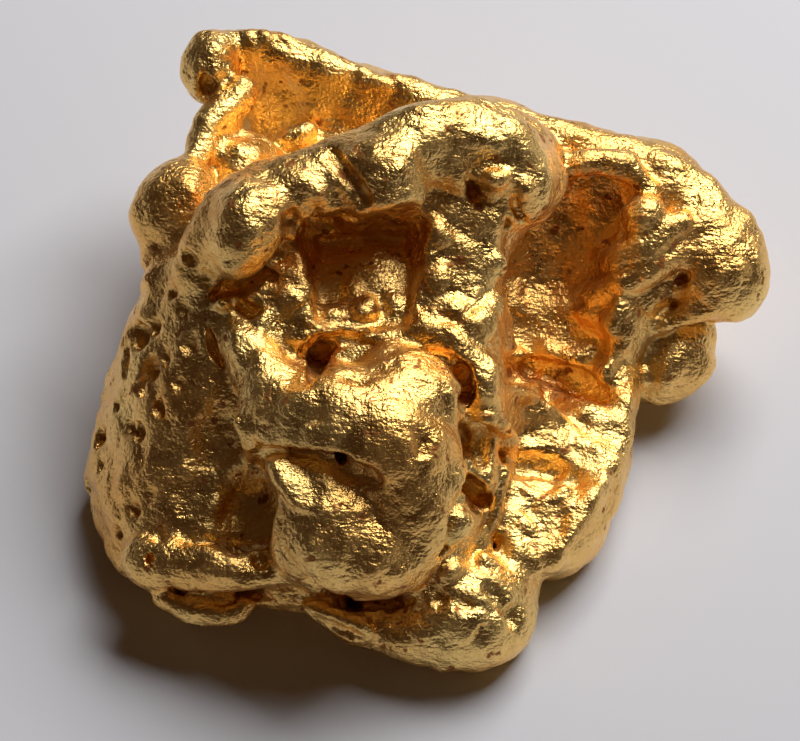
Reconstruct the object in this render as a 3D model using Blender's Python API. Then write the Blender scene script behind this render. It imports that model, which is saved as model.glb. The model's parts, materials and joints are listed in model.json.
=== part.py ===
# A natural gold nugget, one piece of metal, about 18 mm across, lying on its own worn feet.
#
# The nugget is modelled as a sculptor would: big masses first, then folds and lumps, then pits and slits.
# The clay is a grid of points, each holding its distance in mm to the surface, below zero inside the metal.
# Adding a form blends its distance into the grid, and carving takes it away. Blender's volume nodes then
# draw the skin where the distance is zero, and the skin is thinned to a light solid.
#
# Masses are placed on a view of the nugget, in mm: to the right, up, and out towards the viewer.

import math
from dataclasses import dataclass

import bmesh
import bpy
import numpy as np

# Driving dimensions, in mm unless the name says otherwise.
FACE_ELEVATION_DEG = 55.0  # the main face looks up at this angle
FACE_HEIGHT = 6.0  # height of the main face's middle above the ground
EYE_DISTANCE = 111.0  # places on a view are given as they look from this far away
GRID_LOW = (-9.2, -8.4, -0.6)
GRID_HIGH = (10.4, 11.4, 12.0)
GRID_STEP = 0.16
NOISE_REACH = 13.0  # the noise is made this far each way from the middle of the ground
WORN_HEIGHT = 0.12  # the feet are worn flat at this height of the clay
HIDDEN_DEPTH = 1.8  # forms this far behind the face's skin cannot be seen from it
EMPTY_DEPTH = -5.0  # how far out the skin is taken to be where a view shows none
TRIANGLES = 8200
METRES = 0.001
GOLD = (1.0, 0.66, 0.24, 1.0)


@dataclass
class View:
    """A direction to look at the nugget from. A place on it is right, up and out, in mm."""

    azimuth: float
    elevation: float

    def __post_init__(self):
        a = math.radians(self.azimuth)
        e = math.radians(self.elevation)
        right = np.array((math.cos(a), math.sin(a), 0.0))
        out = np.array((math.sin(a) * math.cos(e), -math.cos(a) * math.cos(e), math.sin(e)))
        self.frame = np.array((right, np.cross(out, right), out))
        self.middle = np.array((0.0, 0.0, FACE_HEIGHT))

    def place(self, right, up, out):
        """Points in the nugget's own frame. What is further back is set wider, to look the same."""
        spread = 1 - np.asarray(out) / EYE_DISTANCE
        across = np.broadcast_arrays(right * spread, up * spread, out)
        return self.middle + np.stack(across, axis=-1) @ self.frame

    def seen(self, points):
        """The opposite: the place on this view of points in the nugget's frame."""
        q = (points - self.middle.astype(np.float32)) @ self.frame.T.astype(np.float32)
        q[..., :2] /= 1 - q[..., 2:] / EYE_DISTANCE
        return q

    def axes(self, turn):
        """Three axes of a form turned by this many degrees on the view, as rows."""
        c = math.cos(math.radians(turn))
        s = math.sin(math.radians(turn))
        return np.array(((c, s, 0), (-s, c, 0), (0, 0, 1))) @ self.frame


FACE = View(0, FACE_ELEVATION_DEG)
LEFT = View(-80, 12)
RIGHT = View(80, 15)
BACK = View(180, 25)
TOP = View(0, 90)


def rolling_noise(axes, size, seed):
    """Smooth noise from -1 to 1 on a grid, with hills this far apart in mm."""
    cells = 2 * int(NOISE_REACH / size) + 6
    lattice = np.random.default_rng(seed).uniform(-1, 1, (cells, cells, cells)).astype(np.float32)
    for axis in axes:
        at = axis / size + cells // 2
        first = np.floor(at).astype(int)
        part = at - first
        weights = np.zeros((len(axis), cells), np.float32)
        rows = np.arange(len(axis))
        weights[rows, first - 1] = (1 - part) ** 3 / 6
        weights[rows, first] = (3 * part**3 - 6 * part**2 + 4) / 6
        weights[rows, first + 1] = (-3 * part**3 + 3 * part**2 + 3 * part + 1) / 6
        weights[rows, first + 2] = part**3 / 6
        lattice = np.tensordot(lattice, weights, axes=(0, 1))
    return lattice * 2.2


def smooth_path(points, pieces=5, closed=False):
    """A curve through the points, whose columns may hold anything that changes along it."""
    p = np.array(points, float)
    if closed:
        ends = np.vstack((p[-1], p, p[0], p[1]))
    elif len(p) < 3:
        return p
    else:
        ends = np.vstack((2 * p[0] - p[1], p, 2 * p[-1] - p[-2]))
    made = []
    for a, b, c, d in zip(ends, ends[1:], ends[2:], ends[3:]):
        for t in np.linspace(0, 1, pieces, endpoint=False):
            made.append(
                b + 0.5 * t * (c - a + t * (2 * a - 5 * b + 4 * c - d + t * (3 * (b - c) + d - a)))
            )
    return np.array(made if closed else [*made, p[-1]])


class Clay:
    """The nugget as a grid of distances to its surface, in mm."""

    def __init__(self, low, high, step):
        self.low = np.array(low, float)
        self.step = step
        self.counts = [int(round((h - l) / step)) + 1 for l, h in zip(low, high)]
        self.axes = [l + step * np.arange(n) for l, n in zip(low, self.counts)]
        self.level = np.full(self.counts, 3.0, np.float32)
        self.points = np.stack(np.meshgrid(*self.axes, indexing="ij"), axis=-1).astype(np.float32)

    def warp(self, amount, size, seed):
        """Bends space a little, so that every form added afterwards is irregular."""
        for i in range(3):
            self.points[..., i] += amount * rolling_noise(self.axes, size, seed + i)

    def window(self, low, high, margin):
        """The part of the grid round a form."""
        first = np.floor((np.array(low) - margin - self.low) / self.step).astype(int)
        last = np.ceil((np.array(high) + margin - self.low) / self.step).astype(int) + 1
        return tuple(slice(max(a, 0), max(b, 0)) for a, b in zip(first, last))

    def blend(self, where, distance, soft, carve=False):
        """Joins a form to the clay, or cuts it out, with an edge this soft in mm."""
        old = -self.level[where] if carve else self.level[where]
        mixed = np.minimum(old, distance)
        if soft > 0:
            mixed -= np.maximum(soft - np.abs(old - distance), 0) ** 2 / (4 * soft)
        self.level[where] = -mixed if carve else mixed

    def lump(self, view, place, sizes, turn=0, soft=0.5, carve=False):
        """An ellipsoid. sizes are its half widths to the right, up and out."""
        centre = view.place(*place)
        reach = max(sizes)
        where = self.window(centre - reach, centre + reach, soft + 0.6)
        shrink = view.axes(turn).T / np.array(sizes)
        q = (self.points[where] - centre.astype(np.float32)) @ shrink.astype(np.float32)
        near = np.sqrt(np.einsum("...i,...i", q, q))
        q /= np.array(sizes, np.float32)
        steep = np.sqrt(np.einsum("...i,...i", q, q))
        self.blend(where, near * (near - 1) / np.maximum(steep, 1e-6), soft, carve)

    def plate(self, view, outline, low, high, edge=0.5, soft=0.4, lean=(0, 0), flare=0, carve=False):
        """A mass with this outline on a view, between two depths. lean is how the depths change
        to the right and up, flare how much it widens outwards, edge how round its edges are."""
        ring = smooth_path(outline, 4, closed=True).astype(np.float32)
        depths = [d + ring @ np.array(lean) for d in (low, high)]
        spots = np.concatenate([view.place(ring[:, 0], ring[:, 1], d) for d in depths])
        where = self.window(spots.min(0), spots.max(0), soft + 0.6)
        q = view.seen(self.points[where])
        near = np.full(q.shape[:-1], 99.0, np.float32)
        inside = np.zeros(q.shape[:-1], bool)
        for a, b in zip(ring, np.roll(ring, -1, axis=0)):
            along = b - a
            x = q[..., 0] - a[0]
            y = q[..., 1] - a[1]
            share = np.clip((x * along[0] + y * along[1]) / (along @ along), 0, 1)
            near = np.minimum(near, (x - share * along[0]) ** 2 + (y - share * along[1]) ** 2)
            if along[1] != 0:
                inside ^= ((y < 0) != (y < along[1])) & (x < y * (along[0] / along[1]))
        across = np.where(inside, -np.sqrt(near), np.sqrt(near)) + edge
        above = q[..., 2] - low - q[..., 0] * lean[0] - q[..., 1] * lean[1]
        across -= flare * np.clip(above, 0, 2)
        slant = math.sqrt(1 + lean[0] ** 2 + lean[1] ** 2)
        deep = (np.abs(above - (high - low) / 2) - (high - low) / 2) / slant + edge
        outside = np.sqrt(np.maximum(across, 0) ** 2 + np.maximum(deep, 0) ** 2)
        self.blend(where, outside + np.minimum(np.maximum(across, deep), 0) - edge, soft, carve)

    def roll(self, view, path, soft=0.4, carve=False):
        """A thick curve. path holds right, up, out and radius at each point."""
        track = smooth_path(path)
        spots = view.place(track[:, 0], track[:, 1], track[:, 2]).astype(np.float32)
        radii = track[:, 3].astype(np.float32)
        margin = soft + 0.5
        most = radii.max()
        whole = self.window(spots.min(0) - most, spots.max(0) + most, margin)
        corner = np.array([s.start for s in whole])
        best = np.full(self.level[whole].shape, 9.0, np.float32)
        for a, b, ra, rb in zip(spots, spots[1:], radii, radii[1:]):
            reach = max(ra, rb)
            where = self.window(np.minimum(a, b) - reach, np.maximum(a, b) + reach, margin)
            q = self.points[where] - a
            along = b - a
            share = np.clip(q @ (along / max(along @ along, 1e-9)), 0, 1)
            q -= share[..., None] * along
            distance = np.sqrt(np.einsum("...i,...i", q, q)) - (ra + (rb - ra) * share)
            inner = tuple(slice(s.start - c, s.stop - c) for s, c in zip(where, corner))
            best[inner] = np.minimum(best[inner], distance[tuple(slice(n) for n in best[inner].shape)])
        self.blend(whole, best, soft, carve)

    def surface(self, view, right, up):
        """How far out the skin is at this place of a view."""
        outs = np.arange(12.0, -12.0, -self.step / 2)
        index = np.round((view.place(right, up, outs) - self.low) / self.step).astype(int)
        inside = np.all((index >= 0) & (index < self.counts), axis=1)
        hits = self.level[tuple(index[inside].T)] < 0
        return float(outs[inside][np.argmax(hits)]) if hits.any() else EMPTY_DEPTH

    def bump(self, view, right, up, sizes, stand=0.3, turn=0, soft=0.3):
        """A lump on the skin. It stands out by this share of its thickness."""
        out = self.surface(view, right, up) - sizes[2] * (1 - 2 * stand)
        self.lump(view, (right, up, out), sizes, turn, soft)

    def pit(self, view, right, up, sizes, turn=0, soft=0.15):
        """A hollow in the skin, as deep as its last size."""
        self.lump(view, (right, up, self.surface(view, right, up)), sizes, turn, soft, carve=True)

    def fold(self, view, path, stand=0.3, soft=0.3):
        """A ridge along the skin. path holds right, up and radius."""
        track = [
            (r, u, self.surface(view, r, u) - radius * (1 - 2 * stand), radius)
            for r, u, radius in smooth_path(path, 3)
        ]
        self.roll(view, track, soft)

    def slit(self, view, path, depth, soft=0.1):
        """A groove along the skin. path holds right, up and radius."""
        track = smooth_path(path, 3)
        outs = [self.surface(view, r, u) for r, u, _ in track]
        for share in (0.25, 1.0):
            steps = [(r, u, o - share * depth, w) for (r, u, w), o in zip(track, outs)]
            self.roll(view, steps, soft, carve=True)

    def scatter(self, view, low, high, count, sizes, seed, pits=0.4):
        """Lumps and pits at random over a rectangle of a view, out of sight of the main face."""
        random = np.random.default_rng(seed)
        for _ in range(count):
            right, up = random.uniform(low, high)
            wide, tall = random.uniform(*sizes, 2)
            turn = random.uniform(0, 180)
            kind = random.random()
            spot = view.place(right, up, self.surface(view, right, up))
            on_face = FACE.seen(spot)
            edge = max(wide, tall)
            cover = min(
                self.surface(FACE, on_face[0] + a, on_face[1] + b)
                for a, b in ((0, 0), (edge, 0), (-edge, 0), (0, edge), (0, -edge))
            )
            if cover == EMPTY_DEPTH or cover - on_face[2] < HIDDEN_DEPTH:
                continue
            if kind < pits:
                self.pit(view, right, up, (wide, tall, 0.5 * wide), turn, 0.15)
            else:
                self.bump(view, right, up, (wide, tall, 0.7 * wide), 0.3, turn, 0.2)

    def trim_under(self, height, amount, size, seed):
        """Takes away what is below a gently rolling sheet at this height above the ground."""
        sheet = height + amount * rolling_noise(self.axes[:2] + [np.zeros(1)], size, seed)
        everywhere = tuple(slice(n) for n in self.counts)
        self.blend(everywhere, self.axes[2] - sheet, 0.5, carve=True)

    def roughen(self, amount, size, seed):
        """Raises and lowers the whole skin a little."""
        self.level += amount * rolling_noise(self.axes, size, seed)

    def pebble(self, amount, size, seed):
        """Covers the skin in round swellings with creases between them."""
        self.level += amount * (0.6 - 2 * np.abs(rolling_noise(self.axes, size, seed)))


def add_base(clay):
    """The body out of sight behind the face."""
    clay.lump(TOP, (-1.6, 3.0, -3.1), (4.8, 4.6, 2.9), 5, 1.0)
    clay.lump(TOP, (2.2, 2.8, -3.8), (3.2, 3.0, 2.0), 0, 1.0)
    clay.lump(TOP, (-0.6, 6.2, -2.3), (4.2, 2.6, 2.2), -8, 1.0)
    clay.lump(TOP, (4.6, 4.8, -3.4), (2.6, 2.2, 1.9), -30, 1.0)


def add_feet(clay):
    """The lumps it lies on, three of them out of sight under the body."""
    clay.lump(TOP, (1.75, -4.1, -4.8), (1.4, 1.3, 1.3), 0, 0.4)
    clay.lump(TOP, (-4.3, -0.4, -4.9), (1.5, 1.3, 1.2), 0, 0.7)
    clay.lump(TOP, (-3.4, 5.2, -4.9), (1.4, 1.2, 1.2), 0, 0.7)
    clay.lump(TOP, (3.8, 3.2, -4.9), (1.4, 1.3, 1.2), 0, 0.7)
    clay.lump(TOP, (3.7, -1.3, -4.9), (1.2, 1.4, 1.2), -20, 0.7)


def add_block(clay):
    """The front block, with a round left wall and a steep right one."""
    outline = [
        (-5.0, 3.8), (-6.2, 2.4), (-7.2, 0.3), (-7.75, -1.75), (-7.8, -3.3), (-7.4, -4.6), (-6.4, -5.3),
        (-4.5, -5.4), (-2.2, -5.6), (0.0, -6.4), (1.5, -6.0), (2.4, -4.0), (2.7, -1.75), (2.8, -0.5),
        (2.6, 0.6), (2.4, 2.0), (2.9, 3.25), (3.6, 4.6), (3.3, 5.6), (1.8, 6.2), (0.0, 5.9), (-1.75, 5.2),
        (-3.25, 4.7),
    ]
    clay.plate(FACE, outline, -5.4, -0.5, 1.9, 0.6)
    steep = [
        (-2.5, 4.2), (0.0, 5.4), (2.2, 5.8), (3.1, 4.9), (2.5, 3.2), (2.3, 2.0), (2.45, 0.5), (2.65, -0.7),
        (2.5, -1.75), (2.2, -3.6), (1.0, -5.3), (-1.5, -4.8), (-3.0, -2.0),
    ]
    clay.plate(FACE, steep, -4.2, -0.4, 0.7, 0.4)
    # The left wall falls away from a line about 2 mm in from the outline.
    wall = [(-9.5, 2.6), (-6.4, 2.6), (-4.6, 0.6), (-4.6, -3.6), (-5.2, -6.5), (-9.5, -6.5)]
    clay.plate(FACE, wall, 7.5, 14.0, 0.1, 1.2, (1.35, 0.0), carve=True)


def add_right_side(clay):
    """The mass behind the hollow, the slope below it, and the knob with its lower lobe."""
    behind = [
        (2.0, 5.0), (5.6, 5.4), (7.2, 4.2), (7.4, 1.4), (6.4, 0.3), (5.6, -0.1), (4.0, -0.2), (2.0, 0.2),
    ]
    clay.plate(FACE, behind, -8.2, -4.5, 1.0, 0.5)
    slope = [
        (2.2, 0.6), (5.6, 0.5), (5.95, -0.3), (5.8, -1.4), (5.55, -2.6), (5.2, -3.6), (4.6, -4.5),
        (3.8, -5.1), (2.8, -4.8), (2.0, -3.0),
    ]
    clay.plate(FACE, slope, -8.5, -3.0, 0.6, 0.4, (-0.2, -0.55))
    clay.lump(FACE, (2.9, -4.2, -3.9), (1.1, 1.2, 1.2), 0, 0.5)
    clay.roll(FACE, [(4.6, 5.0, -5.2, 0.8), (6.3, 4.7, -4.9, 0.9), (7.5, 3.7, -4.7, 1.0)], 0.5)
    clay.lump(FACE, (7.85, 2.65, -4.7), (1.35, 1.65, 1.35), 25, 0.5)
    clay.lump(FACE, (6.85, 0.25, -5.4), (0.9, 1.25, 1.1), -38, 0.4)


def add_slab(clay):
    """The slab along the back, with its bulb and bright spur at the left, and the trough before it."""
    outline = [
        (-5.3, 7.3), (-5.1, 8.0), (-4.3, 8.5), (-2.9, 8.35), (-0.9, 7.65), (0.8, 7.15), (3.0, 6.55),
        (5.0, 5.9), (6.2, 5.6), (7.2, 4.8), (6.0, 4.0), (3.0, 4.0), (-1.0, 4.5), (-3.8, 5.0), (-4.4, 6.4),
    ]
    clay.plate(FACE, outline, -9.95, -7.55, 0.6, 0.4, (0.15, 0.45))
    clay.roll(FACE, [(-3.6, 5.2, -3.5, 0.4), (-2.2, 5.7, -3.7, 0.6), (-0.3, 6.2, -3.9, 0.45)], 0.4, True)
    clay.lump(FACE, (-4.75, 7.55, -4.7), (0.7, 0.95, 0.9), 0, 0.25)
    clay.roll(FACE, [(-4.0, 6.9, -4.1, 0.45), (-4.6, 6.2, -3.8, 0.55), (-5.0, 5.5, -3.5, 0.5)], 0.3)
    clay.pit(FACE, -4.85, 7.1, (0.28, 0.4, 0.35), 0)
    clay.lump(FACE, (-3.9, 4.9, -4.3), (1.1, 1.1, 1.3), 0, 0.4)
    clay.lump(FACE, (-2.6, 5.9, -4.7), (0.6, 0.35, 0.4), 20, 0.2)


def add_shoulder(clay):
    """The lobe at the upper left, and the small lumps that run down from it."""
    clay.lump(FACE, (-5.55, 4.05, -2.9), (1.15, 1.35, 1.2), -20, 0.4)
    clay.lump(FACE, (-5.95, 2.85, -2.8), (0.65, 0.55, 0.6), 20, 0.2)
    clay.lump(FACE, (-5.95, 2.15, -2.3), (0.55, 0.75, 0.6), -25, 0.2)
    clay.lump(FACE, (-6.2, 1.3, -2.3), (0.5, 0.5, 0.5), 0, 0.2)


def add_hollow(clay):
    """The deep hollow right of the block, its rim, and the rolled fingers beside it."""
    clay.lump(FACE, (3.8, 2.4, -3.7), (1.7, 2.2, 1.4), 0, 0.4, carve=True)
    clay.lump(FACE, (4.5, 3.7, -3.9), (1.5, 1.2, 1.0), 15, 0.4, carve=True)
    clay.lump(FACE, (3.8, 0.9, -3.8), (1.6, 1.0, 1.3), -15, 0.3, carve=True)
    clay.lump(FACE, (3.7, -0.35, -3.7), (1.3, 0.65, 1.2), -12, 0.6, carve=True)
    clay.roll(FACE, [(3.7, 5.1, -3.7, 0.3), (4.9, 5.2, -3.8, 0.34), (5.8, 5.0, -3.9, 0.34)], 0.2)
    clay.roll(FACE, [(5.8, 5.0, -3.9, 0.34), (6.2, 4.5, -3.9, 0.36), (6.3, 4.0, -3.9, 0.36)], 0.2)
    clay.lump(FACE, (6.15, 3.95, -3.7), (0.55, 0.6, 0.6), -20, 0.15)
    clay.roll(FACE, [(5.3, 2.8, -4.2, 0.3), (6.1, 3.15, -3.6, 0.42), (7.0, 3.7, -3.8, 0.4)], 0.1)
    clay.roll(FACE, [(4.9, 2.0, -4.5, 0.26), (5.8, 2.4, -3.8, 0.34), (7.0, 3.0, -3.8, 0.36)], 0.1)
    clay.slit(FACE, [(5.9, 2.0, 0.12), (6.5, 2.1, 0.2), (7.1, 2.4, 0.14)], 0.4)
    clay.roll(FACE, [(4.7, 1.35, -4.8, 0.25), (5.6, 1.5, -4.3, 0.3), (6.6, 2.0, -4.4, 0.3)], 0.08)
    clay.roll(FACE, [(5.9, 0.85, -4.8, 0.25), (6.8, 1.25, -4.3, 0.32), (7.8, 1.7, -4.2, 0.45)], 0.12)
    clay.fold(FACE, [(3.4, 0.85, 0.12), (3.9, 0.3, 0.17), (4.5, 0.3, 0.17), (4.8, 0.6, 0.12)], 0.45, 0.15)


def add_slope_ridges(clay):
    """The terraces of the slope on the right."""
    clay.fold(FACE, [(2.8, -0.4, 0.2), (3.6, -0.75, 0.3), (5.0, -1.3, 0.34)], 0.18)
    clay.fold(FACE, [(3.1, -1.9, 0.2), (4.2, -1.75, 0.3), (4.75, -2.0, 0.34)], 0.18)
    clay.fold(FACE, [(5.45, -0.8, 0.25), (5.5, -1.5, 0.3), (5.3, -2.3, 0.25)], 0.18)
    clay.fold(FACE, [(3.0, -2.9, 0.14), (3.5, -3.35, 0.2), (4.0, -3.1, 0.2), (4.0, -2.6, 0.14)], 0.22, 0.15)
    clay.fold(FACE, [(5.0, -2.8, 0.22), (4.5, -3.7, 0.26), (3.9, -4.6, 0.24)], 0.22, 0.15)
    clay.fold(FACE, [(2.9, -3.6, 0.18), (3.4, -4.2, 0.24), (3.5, -4.9, 0.2)], 0.22, 0.15)
    clay.slit(FACE, [(2.6, -2.35, 0.28), (3.5, -2.35, 0.3), (4.3, -2.7, 0.25)], 0.15, 0.2)
    clay.slit(FACE, [(2.8, 0.1, 0.3), (4.0, -0.1, 0.34), (4.9, -0.6, 0.3)], 0.1, 0.25)


def add_rim(clay):
    """The thick round rim along the top of the block, with its smooth lumps."""
    clay.roll(
        FACE,
        [
            (-5.1, 2.6, -0.9, 0.6),
            (-4.3, 3.5, -0.4, 0.95),
            (-3.3, 4.25, -0.4, 0.95),
            (-2.0, 4.75, -0.4, 0.9),
            (-0.9, 5.2, -0.5, 0.95),
            (0.6, 5.6, -0.5, 0.95),
            (2.1, 5.8, -0.9, 0.95),
            (2.95, 5.2, -1.1, 0.85),
            (3.05, 4.4, -1.2, 0.75),
        ],
        0.35,
    )
    outer_wall = [(1.0, 6.2), (2.4, 6.65), (3.5, 6.1), (4.05, 5.1), (3.95, 4.4), (3.3, 3.8), (2.2, 4.2)]
    clay.plate(FACE, outer_wall, -4.6, -1.3, 0.8, 0.3)
    crown = [
        (0.5, 5.8), (1.0, 6.3), (1.7, 6.4), (2.4, 6.05), (3.0, 5.4), (3.4, 4.9), (3.3, 4.5), (2.4, 4.3),
        (1.4, 4.5), (0.7, 5.0),
    ]
    clay.plate(FACE, crown, -3.0, 0.68, 0.5, 0.2, (-0.25, -0.05))
    clay.lump(FACE, (-3.85, 3.6, 0.2), (0.9, 1.25, 0.95), -28, 0.3)
    clay.lump(FACE, (-0.5, 4.7, 0.05), (1.2, 1.2, 1.05), -10, 0.3)
    clay.lump(FACE, (1.9, 5.75, -0.75), (1.0, 0.5, 0.95), -14, 0.2)
    clay.lump(FACE, (2.4, 4.75, -0.4), (0.48, 0.3, 0.5), 10, 0.1)
    clay.lump(FACE, (3.15, 4.6, -0.7), (0.3, 0.45, 0.5), 0, 0.1)
    clay.slit(FACE, [(-1.6, 5.4, 0.08), (-1.2, 4.8, 0.12), (-0.95, 4.3, 0.08)], 0.15, 0.2)
    clay.fold(FACE, [(-2.4, 4.7, 0.2), (-1.8, 4.3, 0.25), (-1.4, 4.0, 0.2)], 0.4, 0.2)
    clay.slit(FACE, [(1.7, 4.8, 0.1), (1.95, 4.3, 0.13), (2.4, 3.9, 0.13), (2.6, 3.7, 0.1)], 0.3)
    clay.slit(FACE, [(2.85, 4.3, 0.08), (2.95, 4.0, 0.1), (3.1, 3.75, 0.08)], 0.3)


def add_terrain(clay):
    """The lumpy ground between the rim and the folded lobe."""
    for right, up, wide, tall in (
        (-4.35, 1.65, 0.32, 0.25), (-4.6, 1.0, 0.3, 0.3), (-4.0, 1.0, 0.3, 0.35), (-3.4, 1.1, 0.4, 0.4),
        (-2.9, 1.7, 0.4, 0.35), (-2.5, 1.1, 0.35, 0.3), (-3.1, 2.8, 0.45, 0.3), (-2.9, 2.4, 0.3, 0.25),
        (1.35, 3.9, 0.45, 0.4), (2.1, 3.8, 0.5, 0.45), (1.6, 3.1, 0.6, 0.45), (2.2, 2.7, 0.4, 0.4),
        (1.0, 2.3, 0.35, 0.3), (1.7, 2.1, 0.4, 0.35), (2.2, 1.6, 0.35, 0.4), (1.2, 1.6, 0.4, 0.4),
        (1.9, 1.1, 0.45, 0.4), (0.7, 1.3, 0.3, 0.3), (0.9, 3.4, 0.3, 0.4), (-2.6, 3.5, 0.25, 0.3),
    ):
        clay.bump(FACE, right, up, (1.2 * wide, 1.2 * tall, 0.8 * tall), 0.25, 20 * up, 0.12)
    clay.fold(FACE, [(0.4, 1.1, 0.25), (1.3, 0.7, 0.42), (2.0, 0.0, 0.45), (2.1, -0.8, 0.4)], 0.4, 0.2)
    clay.lump(FACE, (0.2, -0.1, -0.2), (1.3, 0.75, 0.8), 10, 0.3)
    clay.lump(FACE, (-3.95, 0.35, -0.45), (0.45, 0.9, 0.7), 10, 0.2)


def add_folded_lobe(clay):
    """The folded lobe low on the block, a hood over a smaller roll."""
    clay.lump(FACE, (-0.9, -2.9, -1.0), (2.4, 2.8, 2.1), 0, 0.5)
    clay.lump(FACE, (0.25, -0.7, 0.05), (1.35, 1.1, 1.1), -20, 0.3)
    clay.roll(
        FACE,
        [
            (-3.6, 0.5, -0.3, 0.45),
            (-3.35, -0.4, 0.0, 0.8),
            (-2.7, -1.3, 0.1, 1.2),
            (-1.5, -1.55, 0.2, 1.6),
            (-0.4, -1.9, 0.4, 1.65),
            (0.1, -2.6, 0.45, 1.45),
            (0.2, -3.3, 0.4, 1.35),
            (-0.1, -4.0, 0.15, 1.25),
            (-0.9, -4.2, -0.05, 1.1),
            (-1.9, -4.1, -0.15, 0.8),
        ],
        0.3,
    )
    # The recess under the hood, and the smaller roll in it.
    clay.roll(
        FACE,
        [(-3.9, -2.05, 0.3, 0.28), (-2.9, -2.2, 0.95, 0.35), (-1.8, -2.4, 1.5, 0.45), (-0.9, -2.8, 1.8, 0.4)],
        0.1,
        carve=True,
    )
    clay.lump(FACE, (-1.6, -4.0, 0.0), (2.1, 1.7, 1.75), -25, 0.1)
    clay.lump(FACE, (-0.5, -4.3, 0.1), (1.2, 1.5, 1.6), -10, 0.15)
    facet = [
        (-3.35, -2.25), (-1.9, -2.15), (-0.9, -2.5), (-0.1, -3.0), (-0.1, -3.6), (-2.0, -3.7), (-2.8, -3.4),
    ]
    clay.plate(FACE, facet, -2.4, -0.41, 0.3, 0.15, (-0.2, -0.5))


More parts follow.
